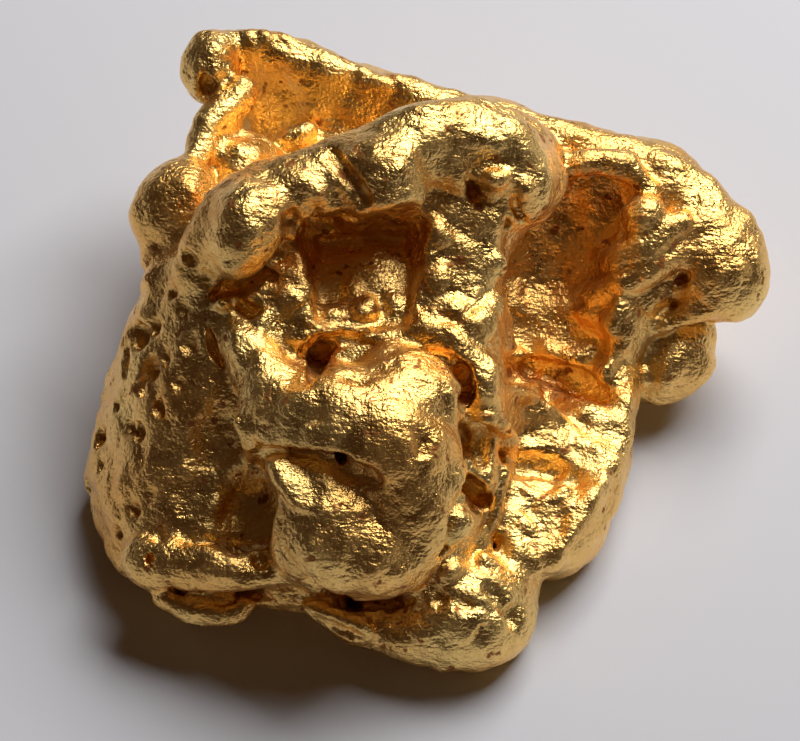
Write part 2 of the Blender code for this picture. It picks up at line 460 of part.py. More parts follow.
def carve_face(clay):
    """The square pit, the slits and the hollows of the block's face."""
    square = [
        (-2.1, 3.1), (-1.95, 3.3), (-0.9, 3.4), (0.0, 3.4), (0.15, 3.2), (0.15, 1.5), (0.0, 1.25),
        (-0.9, 1.1), (-1.85, 1.2), (-2.05, 1.45),
    ]
    clay.plate(FACE, square, -0.15, 3.0, 0.15, 0.15, (-0.1, -0.5), 0.35, carve=True)
    for right, up, size in ((-1.6, 1.45, 0.3), (-0.9, 1.5, 0.32), (-0.2, 1.6, 0.3), (-1.2, 2.0, 0.25)):
        clay.bump(FACE, right, up, (size, size, size), 0.35, 0, 0.15)
    clay.roll(FACE, [(-3.0, 4.25, 0.0, 0.15), (-2.4, 4.1, -0.4, 0.28), (-1.8, 3.7, -0.9, 0.35)], 0.1, True)
    clay.pit(FACE, -2.75, 3.75, (0.28, 0.3, 0.45), 10, 0.1)
    clay.slit(FACE, [(-2.5, 3.5, 0.06), (-2.1, 4.1, 0.08)], 0.3)
    clay.slit(FACE, [(-4.85, 1.8, 0.12), (-4.2, 2.15, 0.28), (-3.6, 2.35, 0.3), (-3.1, 2.3, 0.16)], 0.6)
    clay.slit(FACE, [(-4.1, 1.75, 0.2), (-3.7, 1.45, 0.22)], 0.4)
    clay.bump(FACE, -4.4, 1.65, (0.2, 0.17, 0.2), 0.4, 0, 0.08)
    clay.slit(FACE, [(-4.8, 1.0, 0.08), (-4.6, 0.6, 0.15), (-4.5, 0.25, 0.08)], 0.3)
    clay.slit(
        FACE,
        [
            (-2.5, 0.2, 0.2), (-2.2, 0.55, 0.34), (-1.6, 0.75, 0.34), (-0.9, 0.7, 0.26), (-0.4, 0.6, 0.16),
            (-0.1, 0.5, 0.08),
        ],
        1.3,
    )
    clay.slit(
        FACE,
        [
            (0.55, 0.55, 0.12), (1.1, 0.35, 0.24), (1.55, -0.05, 0.3), (1.65, -0.45, 0.26), (1.5, -0.9, 0.16),
        ],
        0.8,
    )
    clay.slit(FACE, [(-1.85, 0.55, 0.3), (-2.1, 0.1, 0.26), (-2.25, -0.35, 0.12)], 0.8)
    clay.slit(FACE, [(-1.58, -1.8, 0.18), (-1.33, -2.4, 0.28), (-0.75, -2.85, 0.2)], 1.8)
    for right, up, turn in ((-1.0, -0.2, 30), (0.6, -1.7, 80), (-2.3, -0.9, -30)):
        clay.pit(FACE, right, up, (0.5, 0.28, 0.14), turn, 0.2)
    clay.lump(FACE, (-3.95, -3.45, 0.15), (1.1, 1.15, 1.2), -25, 0.25, carve=True)
    clay.roll(FACE, [(-3.5, -2.7, 0.2, 0.3), (-3.2, -3.5, -0.1, 0.55), (-2.85, -4.2, -0.1, 0.5)], 0.2, True)
    clay.lump(FACE, (-4.8, -1.9, 0.15), (0.95, 1.4, 1.0), -10, 0.25, carve=True)
    clay.lump(FACE, (-5.2, -3.2, 0.0), (0.6, 1.0, 0.8), -10, 0.25, carve=True)
    clay.fold(
        FACE,
        [(-3.95, -1.2, 0.16), (-3.7, -1.95, 0.16), (-4.1, -2.5, 0.17), (-4.7, -3.4, 0.18), (-5.1, -4.1, 0.15)],
        0.4,
        0.25,
    )
    clay.slit(
        FACE,
        [(-2.3, -5.15, 0.1), (-1.7, -5.6, 0.18), (-0.9, -5.8, 0.2), (-0.1, -5.85, 0.18), (0.6, -5.55, 0.1)],
        0.8,
    )
    clay.slit(FACE, [(1.5, -1.3, 0.14), (1.65, -2.4, 0.16), (1.45, -3.5, 0.18), (1.1, -4.5, 0.16)], 0.35)
    for right, up, size in (
        (-7.4, -1.7, 0.3), (-7.8, -3.0, 0.25), (-7.5, -4.6, 0.28), (-6.5, -1.6, 0.22), (-6.4, -2.2, 0.15),
        (-5.5, 1.45, 0.15), (-5.25, 2.7, 0.25), (-4.85, 2.3, 0.18), (-5.25, 0.7, 0.25), (-6.6, 0.8, 0.35),
        (-6.3, 0.0, 0.3), (-6.9, 0.2, 0.3), (-6.2, -4.8, 0.2), (-3.6, -4.8, 0.2), (-7.0, 0.7, 0.15),
        (-6.2, 1.1, 0.2), (-5.9, 0.3, 0.18), (-6.5, -0.5, 0.2), (-7.1, -0.8, 0.15), (-6.0, -1.0, 0.2),
        (-5.6, -0.4, 0.15), (-6.75, -1.5, 0.12), (-6.2, -2.9, 0.15), (-7.4, -2.4, 0.15), (-6.6, -3.3, 0.2),
        (-7.0, -4.0, 0.15), (-6.0, -4.2, 0.15), (-5.7, 1.9, 0.15),
    ):
        clay.pit(FACE, right, up, (size, 1.3 * size, 0.9 * size), 20, 0.1)


def add_right_strip(clay):
    """The curled ear, the dark hole and the facets between the folded lobe and the right wall."""
    clay.fold(
        FACE,
        [(1.7, -1.2, 0.14), (2.3, -1.2, 0.24), (2.6, -1.9, 0.26), (2.45, -2.8, 0.26), (2.2, -3.9, 0.22)],
        0.5,
        0.15,
    )
    clay.pit(FACE, 2.0, -2.0, (0.3, 0.6, 0.4))
    clay.slit(FACE, [(1.5, -2.7, 0.2), (1.8, -3.1, 0.34), (2.1, -3.4, 0.2)], 0.9)
    clay.bump(FACE, 1.35, -3.8, (0.55, 0.45, 0.35), 0.4, -30, 0.12)
    clay.bump(FACE, 2.0, -4.3, (0.35, 0.35, 0.3), 0.4, 0, 0.12)
    clay.bump(FACE, 1.3, -5.0, (0.5, 0.35, 0.35), 0.35, 0, 0.12)
    clay.bump(FACE, 2.2, -4.8, (0.35, 0.3, 0.3), 0.4, 0, 0.12)


def add_lower_edge(clay):
    """The foot, the lip, the ledge and the folds along the block's lower edge."""
    clay.lump(FACE, (1.85, -6.0, -1.4), (1.5, 1.4, 1.4), 0, 0.4)
    clay.lump(FACE, (0.8, -6.1, -1.6), (1.0, 1.05, 1.2), 0, 0.3)
    clay.lump(FACE, (2.75, -5.6, -1.9), (0.75, 1.1, 1.0), 0, 0.4)
    for right, up, size in (
        (1.0, -5.6, 0.3), (1.6, -5.9, 0.25), (2.4, -5.5, 0.3), (2.0, -6.6, 0.28), (2.9, -6.2, 0.25),
        (1.3, -6.8, 0.22), (0.7, -6.4, 0.2),
    ):
        clay.pit(FACE, right, up, (1.4 * size, size, 0.4 * size), 40 * up, 0.15)
    clay.roll(
        FACE,
        [(-6.4, -4.8, -1.1, 0.6), (-5.2, -4.95, -0.5, 0.5), (-3.8, -5.1, -0.1, 0.5), (-2.6, -4.9, 0.0, 0.4)],
        0.3,
    )
    clay.lump(FACE, (-4.7, -5.75, -1.5), (1.1, 0.6, 0.8), -5, 0.2)
    clay.roll(
        FACE,
        [
            (-5.9, -5.6, -1.0, 0.2),
            (-5.2, -6.05, -0.8, 0.26),
            (-4.5, -6.3, -0.7, 0.26),
            (-4.0, -6.15, -0.7, 0.24),
            (-3.7, -5.75, -0.8, 0.22),
        ],
        0.1,
    )
    clay.roll(FACE, [(-3.6, -5.5, -1.2, 0.5), (-2.2, -5.6, -1.0, 0.5), (-1.2, -6.15, -1.0, 0.5)], 0.3)
    clay.roll(FACE, [(-1.2, -6.15, -1.0, 0.5), (0.0, -6.55, -1.0, 0.55), (1.0, -6.6, -1.2, 0.8)], 0.3)
    clay.lump(FACE, (-1.45, -6.2, -0.5), (1.1, 0.4, 0.5), -22, 0.1)
    clay.slit(FACE, [(-2.0, -6.25, 0.09), (-1.4, -6.5, 0.12), (-0.9, -6.7, 0.1)], 0.15)
    clay.slit(FACE, [(-5.8, -5.35, 0.1), (-5.0, -5.6, 0.2), (-4.0, -5.6, 0.18), (-3.2, -5.7, 0.08)], 0.5)


def add_other_sides(clay):
    """Lumps and pits on the sides that the face hides."""
    clay.scatter(BACK, (-8.0, -5.5), (7.5, 3.0), 90, (0.5, 1.5), 5)
    clay.scatter(LEFT, (-6.0, -5.5), (8.0, -2.0), 30, (0.3, 0.55), 6, 0.6)
    clay.scatter(RIGHT, (-4.0, -5.5), (8.0, -1.0), 30, (0.35, 0.8), 7)


def make_clay(step):
    """The whole nugget at this grid step."""
    clay = Clay(GRID_LOW, GRID_HIGH, step)
    clay.warp(0.1, 2.2, 11)
    clay.warp(0.05, 0.8, 21)
    add_base(clay)
    add_block(clay)
    add_right_side(clay)
    add_slab(clay)
    add_shoulder(clay)
    add_other_sides(clay)
    clay.trim_under(0.6, 0.3, 2.5, 51)
    add_feet(clay)
    add_hollow(clay)
    add_slope_ridges(clay)
    add_rim(clay)
    add_folded_lobe(clay)
    add_lower_edge(clay)
    clay.roughen(0.12, 1.2, 31)
    clay.pebble(0.07, 0.75, 32)
    clay.warp(0.12, 0.5, 41)
    add_terrain(clay)
    carve_face(clay)
    add_right_strip(clay)
    clay.pebble(0.035, 0.35, 33)
    return clay


def math_node(tree, operation, first, second):
    """A Math node, whose inputs are links or numbers."""
    node = tree.nodes.new("ShaderNodeMath")
    node.operation = operation
    for socket, value in zip(node.inputs, (first, second)):
        if isinstance(value, bpy.types.NodeSocket):
            tree.links.new(value, socket)
        else:
            socket.default_value = value
    return node.outputs[0]


def skin_tree(clay):
    """Geometry Nodes that read the clay's distances, held as points, into a volume and draw its skin."""
    tree = bpy.data.node_groups.new("Skin of the clay", "GeometryNodeTree")
    tree.interface.new_socket("Geometry", in_out="INPUT", socket_type="NodeSocketGeometry")
    tree.interface.new_socket("Geometry", in_out="OUTPUT", socket_type="NodeSocketGeometry")
    group_in = tree.nodes.new("NodeGroupInput")
    group_out = tree.nodes.new("NodeGroupOutput")
    position = tree.nodes.new("GeometryNodeInputPosition")
    split = tree.nodes.new("ShaderNodeSeparateXYZ")
    tree.links.new(position.outputs[0], split.inputs[0])
    nx, ny, nz = clay.counts
    index = None
    for axis, low, stride in zip("XYZ", clay.low, (ny * nz, nz, 1)):
        from_low = math_node(tree, "SUBTRACT", split.outputs[axis], float(low))
        whole = math_node(tree, "ROUND", math_node(tree, "DIVIDE", from_low, clay.step), 0.0)
        term = math_node(tree, "MULTIPLY", whole, float(stride))
        index = term if index is None else math_node(tree, "ADD", index, term)
    level = tree.nodes.new("GeometryNodeInputNamedAttribute")
    level.data_type = "FLOAT"
    level.inputs["Name"].default_value = "level"
    sample = tree.nodes.new("GeometryNodeSampleIndex")
    sample.data_type = "FLOAT"
    tree.links.new(group_in.outputs[0], sample.inputs["Geometry"])
    tree.links.new(level.outputs[0], sample.inputs["Value"])
    tree.links.new(index, sample.inputs["Index"])
    volume = tree.nodes.new("GeometryNodeVolumeCube")
    tree.links.new(sample.outputs[0], volume.inputs["Density"])
    volume.inputs["Min"].default_value = clay.low
    volume.inputs["Max"].default_value = clay.low + clay.step * (np.array(clay.counts) - 1)
    for name, count in zip(("Resolution X", "Resolution Y", "Resolution Z"), (nx, ny, nz)):
        volume.inputs[name].default_value = count
    skin = tree.nodes.new("GeometryNodeVolumeToMesh")
    skin.inputs["Threshold"].default_value = 0.5
    tree.links.new(volume.outputs[0], skin.inputs["Volume"])
    tree.links.new(skin.outputs[0], group_out.inputs[0])
    return tree


def skin_mesh(clay):
    """The clay's surface as a mesh, in mm."""
    points = bpy.data.meshes.new("Clay points")
    points.vertices.add(clay.level.size)
    inside = np.clip(0.5 - clay.level / (4 * clay.step), 0, 1)
    points.attributes.new("level", "FLOAT", "POINT").data.foreach_set("value", inside.ravel())
    holder = bpy.data.objects.new("Clay points", points)
    bpy.context.scene.collection.objects.link(holder)
    tree = skin_tree(clay)
    holder.modifiers.new("Skin", "NODES").node_group = tree
    graph = bpy.context.evaluated_depsgraph_get()
    mesh = bpy.data.meshes.new_from_object(holder.evaluated_get(graph))
    bpy.data.objects.remove(holder)
    bpy.data.meshes.remove(points)
    bpy.data.node_groups.remove(tree)
    return mesh


def keep_largest_piece(bm):
    """Removes any crumb that is not joined to the nugget."""
    left = set(bm.verts)
    pieces = []
    while left:
        piece = {left.pop()}
        edge_of_piece = list(piece)
        while edge_of_piece:
            vert = edge_of_piece.pop()
            for edge in vert.link_edges:
                other = edge.other_vert(vert)
                if other in left:
                    left.discard(other)
                    piece.add(other)
                    edge_of_piece.append(other)
        pieces.append(piece)
    pieces.sort(key=len)
    for piece in pieces[:-1]:
        bmesh.ops.delete(bm, geom=list(piece), context="VERTS")


def wear_flat(bm, height):
    """Cuts the feet off level at this height, and closes them with flat faces."""
    geometry = bm.verts[:] + bm.edges[:] + bm.faces[:]
    cut = bmesh.ops.bisect_plane(
        bm, geom=geometry, plane_co=(0, 0, height), plane_no=(0, 0, -1), clear_outer=True
    )
    edges = [g for g in cut["geom_cut"] if isinstance(g, bmesh.types.BMEdge)]
    bmesh.ops.holes_fill(bm, edges=edges)
    bmesh.ops.triangulate(bm, faces=[f for f in bm.faces if len(f.verts) > 4])


def gold_material():
    """Plain gold for the solid."""
    material = bpy.data.materials.new("Native gold")
    material.use_nodes = True
    shader = material.node_tree.nodes["Principled BSDF"]
    shader.inputs["Base Color"].default_value = GOLD
    shader.inputs["Metallic"].default_value = 1.0
    shader.inputs["Roughness"].default_value = 0.28
    return material


def main():
    for old in list(bpy.data.objects):
        bpy.data.objects.remove(old)
    mesh = skin_mesh(make_clay(GRID_STEP))
    bm = bmesh.new()
    bm.from_mesh(mesh)
    keep_largest_piece(bm)
    bm.to_mesh(mesh)
    bm.free()
    nugget = bpy.data.objects.new("gold_nugget", mesh)
    collection = bpy.data.collections.new("Gold nugget")
    bpy.context.scene.collection.children.link(collection)
    collection.objects.link(nugget)
    # The skin has far more faces than the solid needs.
    thin = nugget.modifiers.new("Thin", "DECIMATE")
    thin.ratio = TRIANGLES / sum(len(p.vertices) - 2 for p in mesh.polygons)
    graph = bpy.context.evaluated_depsgraph_get()
    thinned = bpy.data.meshes.new_from_object(nugget.evaluated_get(graph))
    nugget.modifiers.remove(thin)
    bm = bmesh.new()
    bm.from_mesh(thinned)
    wear_flat(bm, WORN_HEIGHT)
    xs = [v.co.x for v in bm.verts]
    ys = [v.co.y for v in bm.verts]
    middle = ((min(xs) + max(xs)) / 2, (min(ys) + max(ys)) / 2, WORN_HEIGHT)
    for vert in bm.verts:
        vert.co = [(c - m) * METRES for c, m in zip(vert.co, middle)]
    bm.to_mesh(thinned)
    bm.free()
    nugget.data = thinned
    bpy.data.meshes.remove(mesh)
    thinned.materials.clear()
    thinned.materials.append(gold_material())
    thinned.shade_smooth()
    thinned.set_sharp_from_angle(angle=math.radians(50))


if __name__ == "__main__":
    main()
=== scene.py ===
# %% [markdown]
# # A natural gold nugget
#
# A nugget is a lump of native gold that a river has rolled. Gold is soft, so stones round its corners and
# fold its edges over, while pits and slits keep the sharp forms that quartz left when it broke out.
# The whole piece is one lump of metal, so there is one form and one finish to make. It could be made by
# hand in Sculpt Mode. Here it is built up in code, because every form then has a place and a size that can
# be read and changed.

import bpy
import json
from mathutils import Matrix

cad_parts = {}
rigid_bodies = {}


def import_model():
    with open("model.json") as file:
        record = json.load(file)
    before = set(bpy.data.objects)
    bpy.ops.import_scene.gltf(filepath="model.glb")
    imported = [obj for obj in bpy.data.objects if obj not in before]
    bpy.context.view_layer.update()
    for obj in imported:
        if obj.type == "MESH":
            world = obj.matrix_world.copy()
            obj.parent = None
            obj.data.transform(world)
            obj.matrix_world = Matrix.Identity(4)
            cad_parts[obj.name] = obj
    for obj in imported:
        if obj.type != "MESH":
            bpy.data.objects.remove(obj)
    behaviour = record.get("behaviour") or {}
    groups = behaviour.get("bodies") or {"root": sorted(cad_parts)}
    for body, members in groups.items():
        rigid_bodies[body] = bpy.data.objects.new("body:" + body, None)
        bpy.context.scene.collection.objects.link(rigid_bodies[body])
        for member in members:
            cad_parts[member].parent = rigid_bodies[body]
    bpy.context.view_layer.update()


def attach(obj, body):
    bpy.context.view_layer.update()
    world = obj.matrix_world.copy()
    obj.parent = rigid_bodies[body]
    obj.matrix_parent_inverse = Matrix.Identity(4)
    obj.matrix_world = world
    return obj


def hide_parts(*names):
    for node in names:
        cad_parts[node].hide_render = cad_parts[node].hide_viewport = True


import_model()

# %% [markdown]
# ## A clay of distances
#
# The clay is a grid of points, and each point holds its distance in mm to the surface, below zero inside
# the metal. A smaller distance wins when a form is added, and a form is carved by the opposite rule. This
# is chosen over modelling with faces because lumps and folds melt into each other without any seam, and
# a pit can be cut anywhere.

# %% The grid of points
import json
import math
from dataclasses import dataclass

import bmesh
import bpy
import numpy as np
from mathutils import Vector

GRID_LOW = (-9.2, -8.4, -0.6)
GRID_HIGH = (10.4, 11.4, 12.0)
GRID_STEP = 0.09
EMPTY_LEVEL = 3.0

low_corner = np.array(GRID_LOW)
counts = [round((high - low) / GRID_STEP) + 1 for low, high in zip(GRID_LOW, GRID_HIGH)]
axes = [low + GRID_STEP * np.arange(count) for low, count in zip(GRID_LOW, counts)]
points = np.stack(np.meshgrid(*axes, indexing="ij"), axis=-1).astype(np.float32)
level = np.full(counts, EMPTY_LEVEL, np.float32)
print("grid points:", level.size)

# %% [markdown]
# ## Views to work from
#
# The main face of the nugget looks up at 55 degrees, and a sculptor turns the work to the side that is
# being shaped. A view does the same: forms are placed on it in mm to the right, up and out towards the
# eye. The eye is near, so what lies further back has to be set a little wider to look the same.

# %% Views
FACE_ELEVATION_DEG = 55.0
FACE_HEIGHT = 6.0
EYE_DISTANCE = 111.0


@dataclass
class View:
    """A direction to look from. A place on it is right, up and out, in mm."""

    azimuth: float
    elevation: float

    def __post_init__(self):
        a = math.radians(self.azimuth)
        e = math.radians(self.elevation)
        right = np.array((math.cos(a), math.sin(a), 0.0))
        out = np.array((math.sin(a) * math.cos(e), -math.cos(a) * math.cos(e), math.sin(e)))
        self.frame = np.array((right, np.cross(out, right), out))
        self.middle = np.array((0.0, 0.0, FACE_HEIGHT))

    def place(self, right, up, out):
        """Points in the nugget's own frame."""
        spread = 1 - np.asarray(out) / EYE_DISTANCE
        across = np.broadcast_arrays(right * spread, up * spread, out)
        return self.middle + np.stack(across, axis=-1) @ self.frame

    def seen(self, spots):
        """The place on this view of points in the nugget's frame."""
        q = (spots - self.middle.astype(np.float32)) @ self.frame.T.astype(np.float32)
        q[..., :2] /= 1 - q[..., 2:] / EYE_DISTANCE
        return q

    def axes(self, turn):
        """Three axes of a form turned by this many degrees on the view."""
        c = math.cos(math.radians(turn))
        s = math.sin(math.radians(turn))
        return np.array(((c, s, 0), (-s, c, 0), (0, 0, 1))) @ self.frame


FACE = View(0, FACE_ELEVATION_DEG)
LEFT = View(-80, 12)
RIGHT = View(80, 15)
BACK = View(180, 25)
TOP = View(0, 90)
print("the face looks out along", FACE.frame[2].round(3))

# %% [markdown]
# ## Nothing in nature is exact
#
# A river leaves no perfect ellipsoid. Smooth noise bends the space in which the forms are placed, so each
# one comes out a little irregular. The noise is random numbers on a coarse lattice with a smooth curve
# through them. Its seed is fixed, so the same nugget comes out every time.

# %% Smooth noise, and a first bend of space
NOISE_REACH = 13.0
NOISE_GAIN = 2.2


def rolling_noise(lines, size, seed):
    """Smooth noise from -1 to 1 on a grid, with hills this far apart in mm."""
    cells = 2 * int(NOISE_REACH / size) + 6
    lattice = np.random.default_rng(seed).uniform(-1, 1, (cells, cells, cells)).astype(np.float32)
    for line in lines:
        at = line / size + cells // 2
        first = np.floor(at).astype(int)
        part = at - first
        weights = np.zeros((len(line), cells), np.float32)
        rows = np.arange(len(line))
        weights[rows, first - 1] = (1 - part) ** 3 / 6
        weights[rows, first] = (3 * part**3 - 6 * part**2 + 4) / 6
        weights[rows, first + 1] = (-3 * part**3 + 3 * part**2 + 3 * part + 1) / 6
        weights[rows, first + 2] = part**3 / 6
        lattice = np.tensordot(lattice, weights, axes=(0, 1))
    return lattice * NOISE_GAIN


def bend_space(amount, size, seed):
    """Moves the places where forms are set by up to about this many mm."""
    for i in range(3):
        points[..., i] += amount * rolling_noise(axes, size, seed + i)


bend_space(0.1, 2.2, 11)
bend_space(0.05, 0.8, 21)
print("space bent by up to", round(float(np.abs(points[..., 2] - axes[2]).max()), 2), "mm")

# %% [markdown]
# ## The body
#
# The part that the face hides is a plain heap of big masses. An ellipsoid is the roundest way to say how
# wide, tall and thick a mass is. Only the points near a form are worked out, which keeps it quick, and
# a soft edge melts each mass into the one before, as metal pressed together would be.

# %% Lumps, and the body
MARGIN = 0.6


def window(low, high, margin):
    """The part of the grid round a form."""
    first = np.floor((np.array(low) - margin - low_corner) / GRID_STEP).astype(int)
    last = np.ceil((np.array(high) + margin - low_corner) / GRID_STEP).astype(int) + 1
    return tuple(slice(max(a, 0), max(b, 0)) for a, b in zip(first, last))


def blend(where, distance, soft, carve=False):
    """Joins a form to the clay, or cuts it out, with an edge this soft in mm."""
    old = -level[where] if carve else level[where]
    mixed = np.minimum(old, distance)
    if soft > 0:
        mixed -= np.maximum(soft - np.abs(old - distance), 0) ** 2 / (4 * soft)
    level[where] = -mixed if carve else mixed


def lump(view, place, sizes, turn=0, soft=0.5, carve=False):
    """An ellipsoid. sizes are its half widths to the right, up and out."""
    centre = view.place(*place)
    reach = max(sizes)
    where = window(centre - reach, centre + reach, soft + MARGIN)
    shrink = view.axes(turn).T / np.array(sizes)
    q = (points[where] - centre.astype(np.float32)) @ shrink.astype(np.float32)
    near = np.sqrt(np.einsum("...i,...i", q, q))
    q /= np.array(sizes, np.float32)
    steep = np.sqrt(np.einsum("...i,...i", q, q))
    blend(where, near * (near - 1) / np.maximum(steep, 1e-6), soft, carve)


def volume_so_far():
    """The volume inside the skin, in cubic mm."""
    return round(float((level < 0).sum()) * GRID_STEP**3)


lump(TOP, (-1.6, 3.0, -3.1), (4.8, 4.6, 2.9), 5, 1.0)
lump(TOP, (2.2, 2.8, -3.8), (3.2, 3.0, 2.0), 0, 1.0)
lump(TOP, (-0.6, 6.2, -2.3), (4.2, 2.6, 2.2), -8, 1.0)
lump(TOP, (4.6, 4.8, -3.4), (2.6, 2.2, 1.9), -30, 1.0)
print("body:", volume_so_far(), "cubic mm")

# %% [markdown]
# ## The front block
#
# The face is a block with a round left wall and a steep right one. Its outline matters most, so it is made
# as a plate: an outline drawn on the view, a depth, and a round edge. A stack of lumps could fill the same
# space, but it would not hold a crisp outline.

# %% Plates, and the block
FAR_AWAY = 99.0


def smooth_path(spots, pieces=5, closed=False):
    """A curve through the spots, whose columns may hold anything that changes along it."""
    p = np.array(spots, float)
    if closed:
        ends = np.vstack((p[-1], p, p[0], p[1]))
    elif len(p) < 3:
        return p
    else:
        ends = np.vstack((2 * p[0] - p[1], p, 2 * p[-1] - p[-2]))
    made = []
    for a, b, c, d in zip(ends, ends[1:], ends[2:], ends[3:]):
        for t in np.linspace(0, 1, pieces, endpoint=False):
            made.append(
                b + 0.5 * t * (c - a + t * (2 * a - 5 * b + 4 * c - d + t * (3 * (b - c) + d - a)))
            )
    return np.array(made if closed else [*made, p[-1]])


def distance_across(ring, q):
    """How far each place is from a closed outline on a view, below zero inside it."""
    near = np.full(q.shape[:-1], FAR_AWAY, np.float32)
    inside = np.zeros(q.shape[:-1], bool)
    for a, b in zip(ring, np.roll(ring, -1, axis=0)):
        along = b - a
        x = q[..., 0] - a[0]
        y = q[..., 1] - a[1]
        share = np.clip((x * along[0] + y * along[1]) / (along @ along), 0, 1)
        near = np.minimum(near, (x - share * along[0]) ** 2 + (y - share * along[1]) ** 2)
        if along[1] != 0:
            inside ^= ((y < 0) != (y < along[1])) & (x < y * (along[0] / along[1]))
    return np.where(inside, -np.sqrt(near), np.sqrt(near))


def plate(view, outline, low, high, edge=0.5, soft=0.4, lean=(0, 0), flare=0, carve=False):
    """A mass with this outline, between two depths. lean is how the depths change to the right
    and up, flare how much it widens outwards, edge how round its edges are."""
    ring = smooth_path(outline, 4, closed=True).astype(np.float32)
    depths = [d + ring @ np.array(lean) for d in (low, high)]
    spots = np.concatenate([view.place(ring[:, 0], ring[:, 1], d) for d in depths])
    where = window(spots.min(0), spots.max(0), soft + MARGIN)
    q = view.seen(points[where])
    across = distance_across(ring, q) + edge
    above = q[..., 2] - low - q[..., 0] * lean[0] - q[..., 1] * lean[1]
    across -= flare * np.clip(above, 0, 2)
    slant = math.sqrt(1 + lean[0] ** 2 + lean[1] ** 2)
    deep = (np.abs(above - (high - low) / 2) - (high - low) / 2) / slant + edge
    outside = np.sqrt(np.maximum(across, 0) ** 2 + np.maximum(deep, 0) ** 2)
    blend(where, outside + np.minimum(np.maximum(across, deep), 0) - edge, soft, carve)


outline = [
    (-5.0, 3.8), (-6.2, 2.4), (-7.2, 0.3), (-7.75, -1.75), (-7.8, -3.3), (-7.4, -4.6), (-6.4, -5.3),
    (-4.5, -5.4), (-2.2, -5.6), (0.0, -6.4), (1.5, -6.0), (2.4, -4.0), (2.7, -1.75), (2.8, -0.5),
    (2.6, 0.6), (2.4, 2.0), (2.9, 3.25), (3.6, 4.6), (3.3, 5.6), (1.8, 6.2), (0.0, 5.9), (-1.75, 5.2),
    (-3.25, 4.7),
]
plate(FACE, outline, -5.4, -0.5, 1.9, 0.6)
steep = [
    (-2.5, 4.2), (0.0, 5.4), (2.2, 5.8), (3.1, 4.9), (2.5, 3.2), (2.3, 2.0), (2.45, 0.5), (2.65, -0.7),
    (2.5, -1.75), (2.2, -3.6), (1.0, -5.3), (-1.5, -4.8), (-3.0, -2.0),
]
plate(FACE, steep, -4.2, -0.4, 0.7, 0.4)
# The left wall falls away from a line about 2 mm in from the outline.
wall = [(-9.5, 2.6), (-6.4, 2.6), (-4.6, 0.6), (-4.6, -3.6), (-5.2, -6.5), (-9.5, -6.5)]
plate(FACE, wall, 7.5, 14.0, 0.1, 1.2, (1.35, 0.0), carve=True)
print("with the block:", volume_so_far(), "cubic mm")

# %% [markdown]
# ## Right side, back slab and left shoulder
#
# Behind the block lie a slab, a knob and a slope. Long forms with a round section are rolls: a curve with
# a radius at each of its points. A skinned curve object would do as well for one alone, but here it has to
# melt into its neighbours.

# %% Rolls, and the right side
ROLL_MARGIN = 0.5


def roll(view, path, soft=0.4, carve=False):
    """A thick curve. path holds right, up, out and radius at each point."""
    track = smooth_path(path)
    spots = view.place(track[:, 0], track[:, 1], track[:, 2]).astype(np.float32)
    radii = track[:, 3].astype(np.float32)
    margin = soft + ROLL_MARGIN
    most = radii.max()
    whole = window(spots.min(0) - most, spots.max(0) + most, margin)
    corner = [s.start for s in whole]
    best = np.full(level[whole].shape, FAR_AWAY, np.float32)
    for a, b, ra, rb in zip(spots, spots[1:], radii, radii[1:]):
        reach = max(ra, rb)
        where = window(np.minimum(a, b) - reach, np.maximum(a, b) + reach, margin)
        q = points[where] - a
        along = b - a
        share = np.clip(q @ (along / max(along @ along, 1e-9)), 0, 1)
        q -= share[..., None] * along
        distance = np.sqrt(np.einsum("...i,...i", q, q)) - (ra + (rb - ra) * share)
        inner = tuple(slice(s.start - c, s.stop - c) for s, c in zip(where, corner))
        best[inner] = np.minimum(best[inner], distance[tuple(slice(n) for n in best[inner].shape)])
    blend(whole, best, soft, carve)


behind = [
    (2.0, 5.0), (5.6, 5.4), (7.2, 4.2), (7.4, 1.4), (6.4, 0.3), (5.6, -0.1), (4.0, -0.2), (2.0, 0.2),
]
plate(FACE, behind, -8.2, -4.5, 1.0, 0.5)
slope = [
    (2.2, 0.6), (5.6, 0.5), (5.95, -0.3), (5.8, -1.4), (5.55, -2.6), (5.2, -3.6), (4.6, -4.5),
    (3.8, -5.1), (2.8, -4.8), (2.0, -3.0),
]
plate(FACE, slope, -8.5, -3.0, 0.6, 0.4, (-0.2, -0.55))
lump(FACE, (2.9, -4.2, -3.9), (1.1, 1.2, 1.2), 0, 0.5)
roll(FACE, [(4.6, 5.0, -5.2, 0.8), (6.3, 4.7, -4.9, 0.9), (7.5, 3.7, -4.7, 1.0)], 0.5)
lump(FACE, (7.85, 2.65, -4.7), (1.35, 1.65, 1.35), 25, 0.5)
lump(FACE, (6.85, 0.25, -5.4), (0.9, 1.25, 1.1), -38, 0.4)
print("with the right side:", volume_so_far(), "cubic mm")

# %% The slab along the back, and its trough
EMPTY_DEPTH = -5.0


def surface(view, right, up):
    """How far out the skin is at this place of a view, or EMPTY_DEPTH where there is none."""
    outs = np.arange(12.0, -12.0, -GRID_STEP / 2)
    index = np.round((view.place(right, up, outs) - low_corner) / GRID_STEP).astype(int)
    inside = np.all((index >= 0) & (index < counts), axis=1)
    hits = level[tuple(index[inside].T)] < 0
    return float(outs[inside][np.argmax(hits)]) if hits.any() else EMPTY_DEPTH


def pit(view, right, up, sizes, turn=0, soft=0.15):
    """A hollow in the skin, as deep as its last size."""
    lump(view, (right, up, surface(view, right, up)), sizes, turn, soft, carve=True)


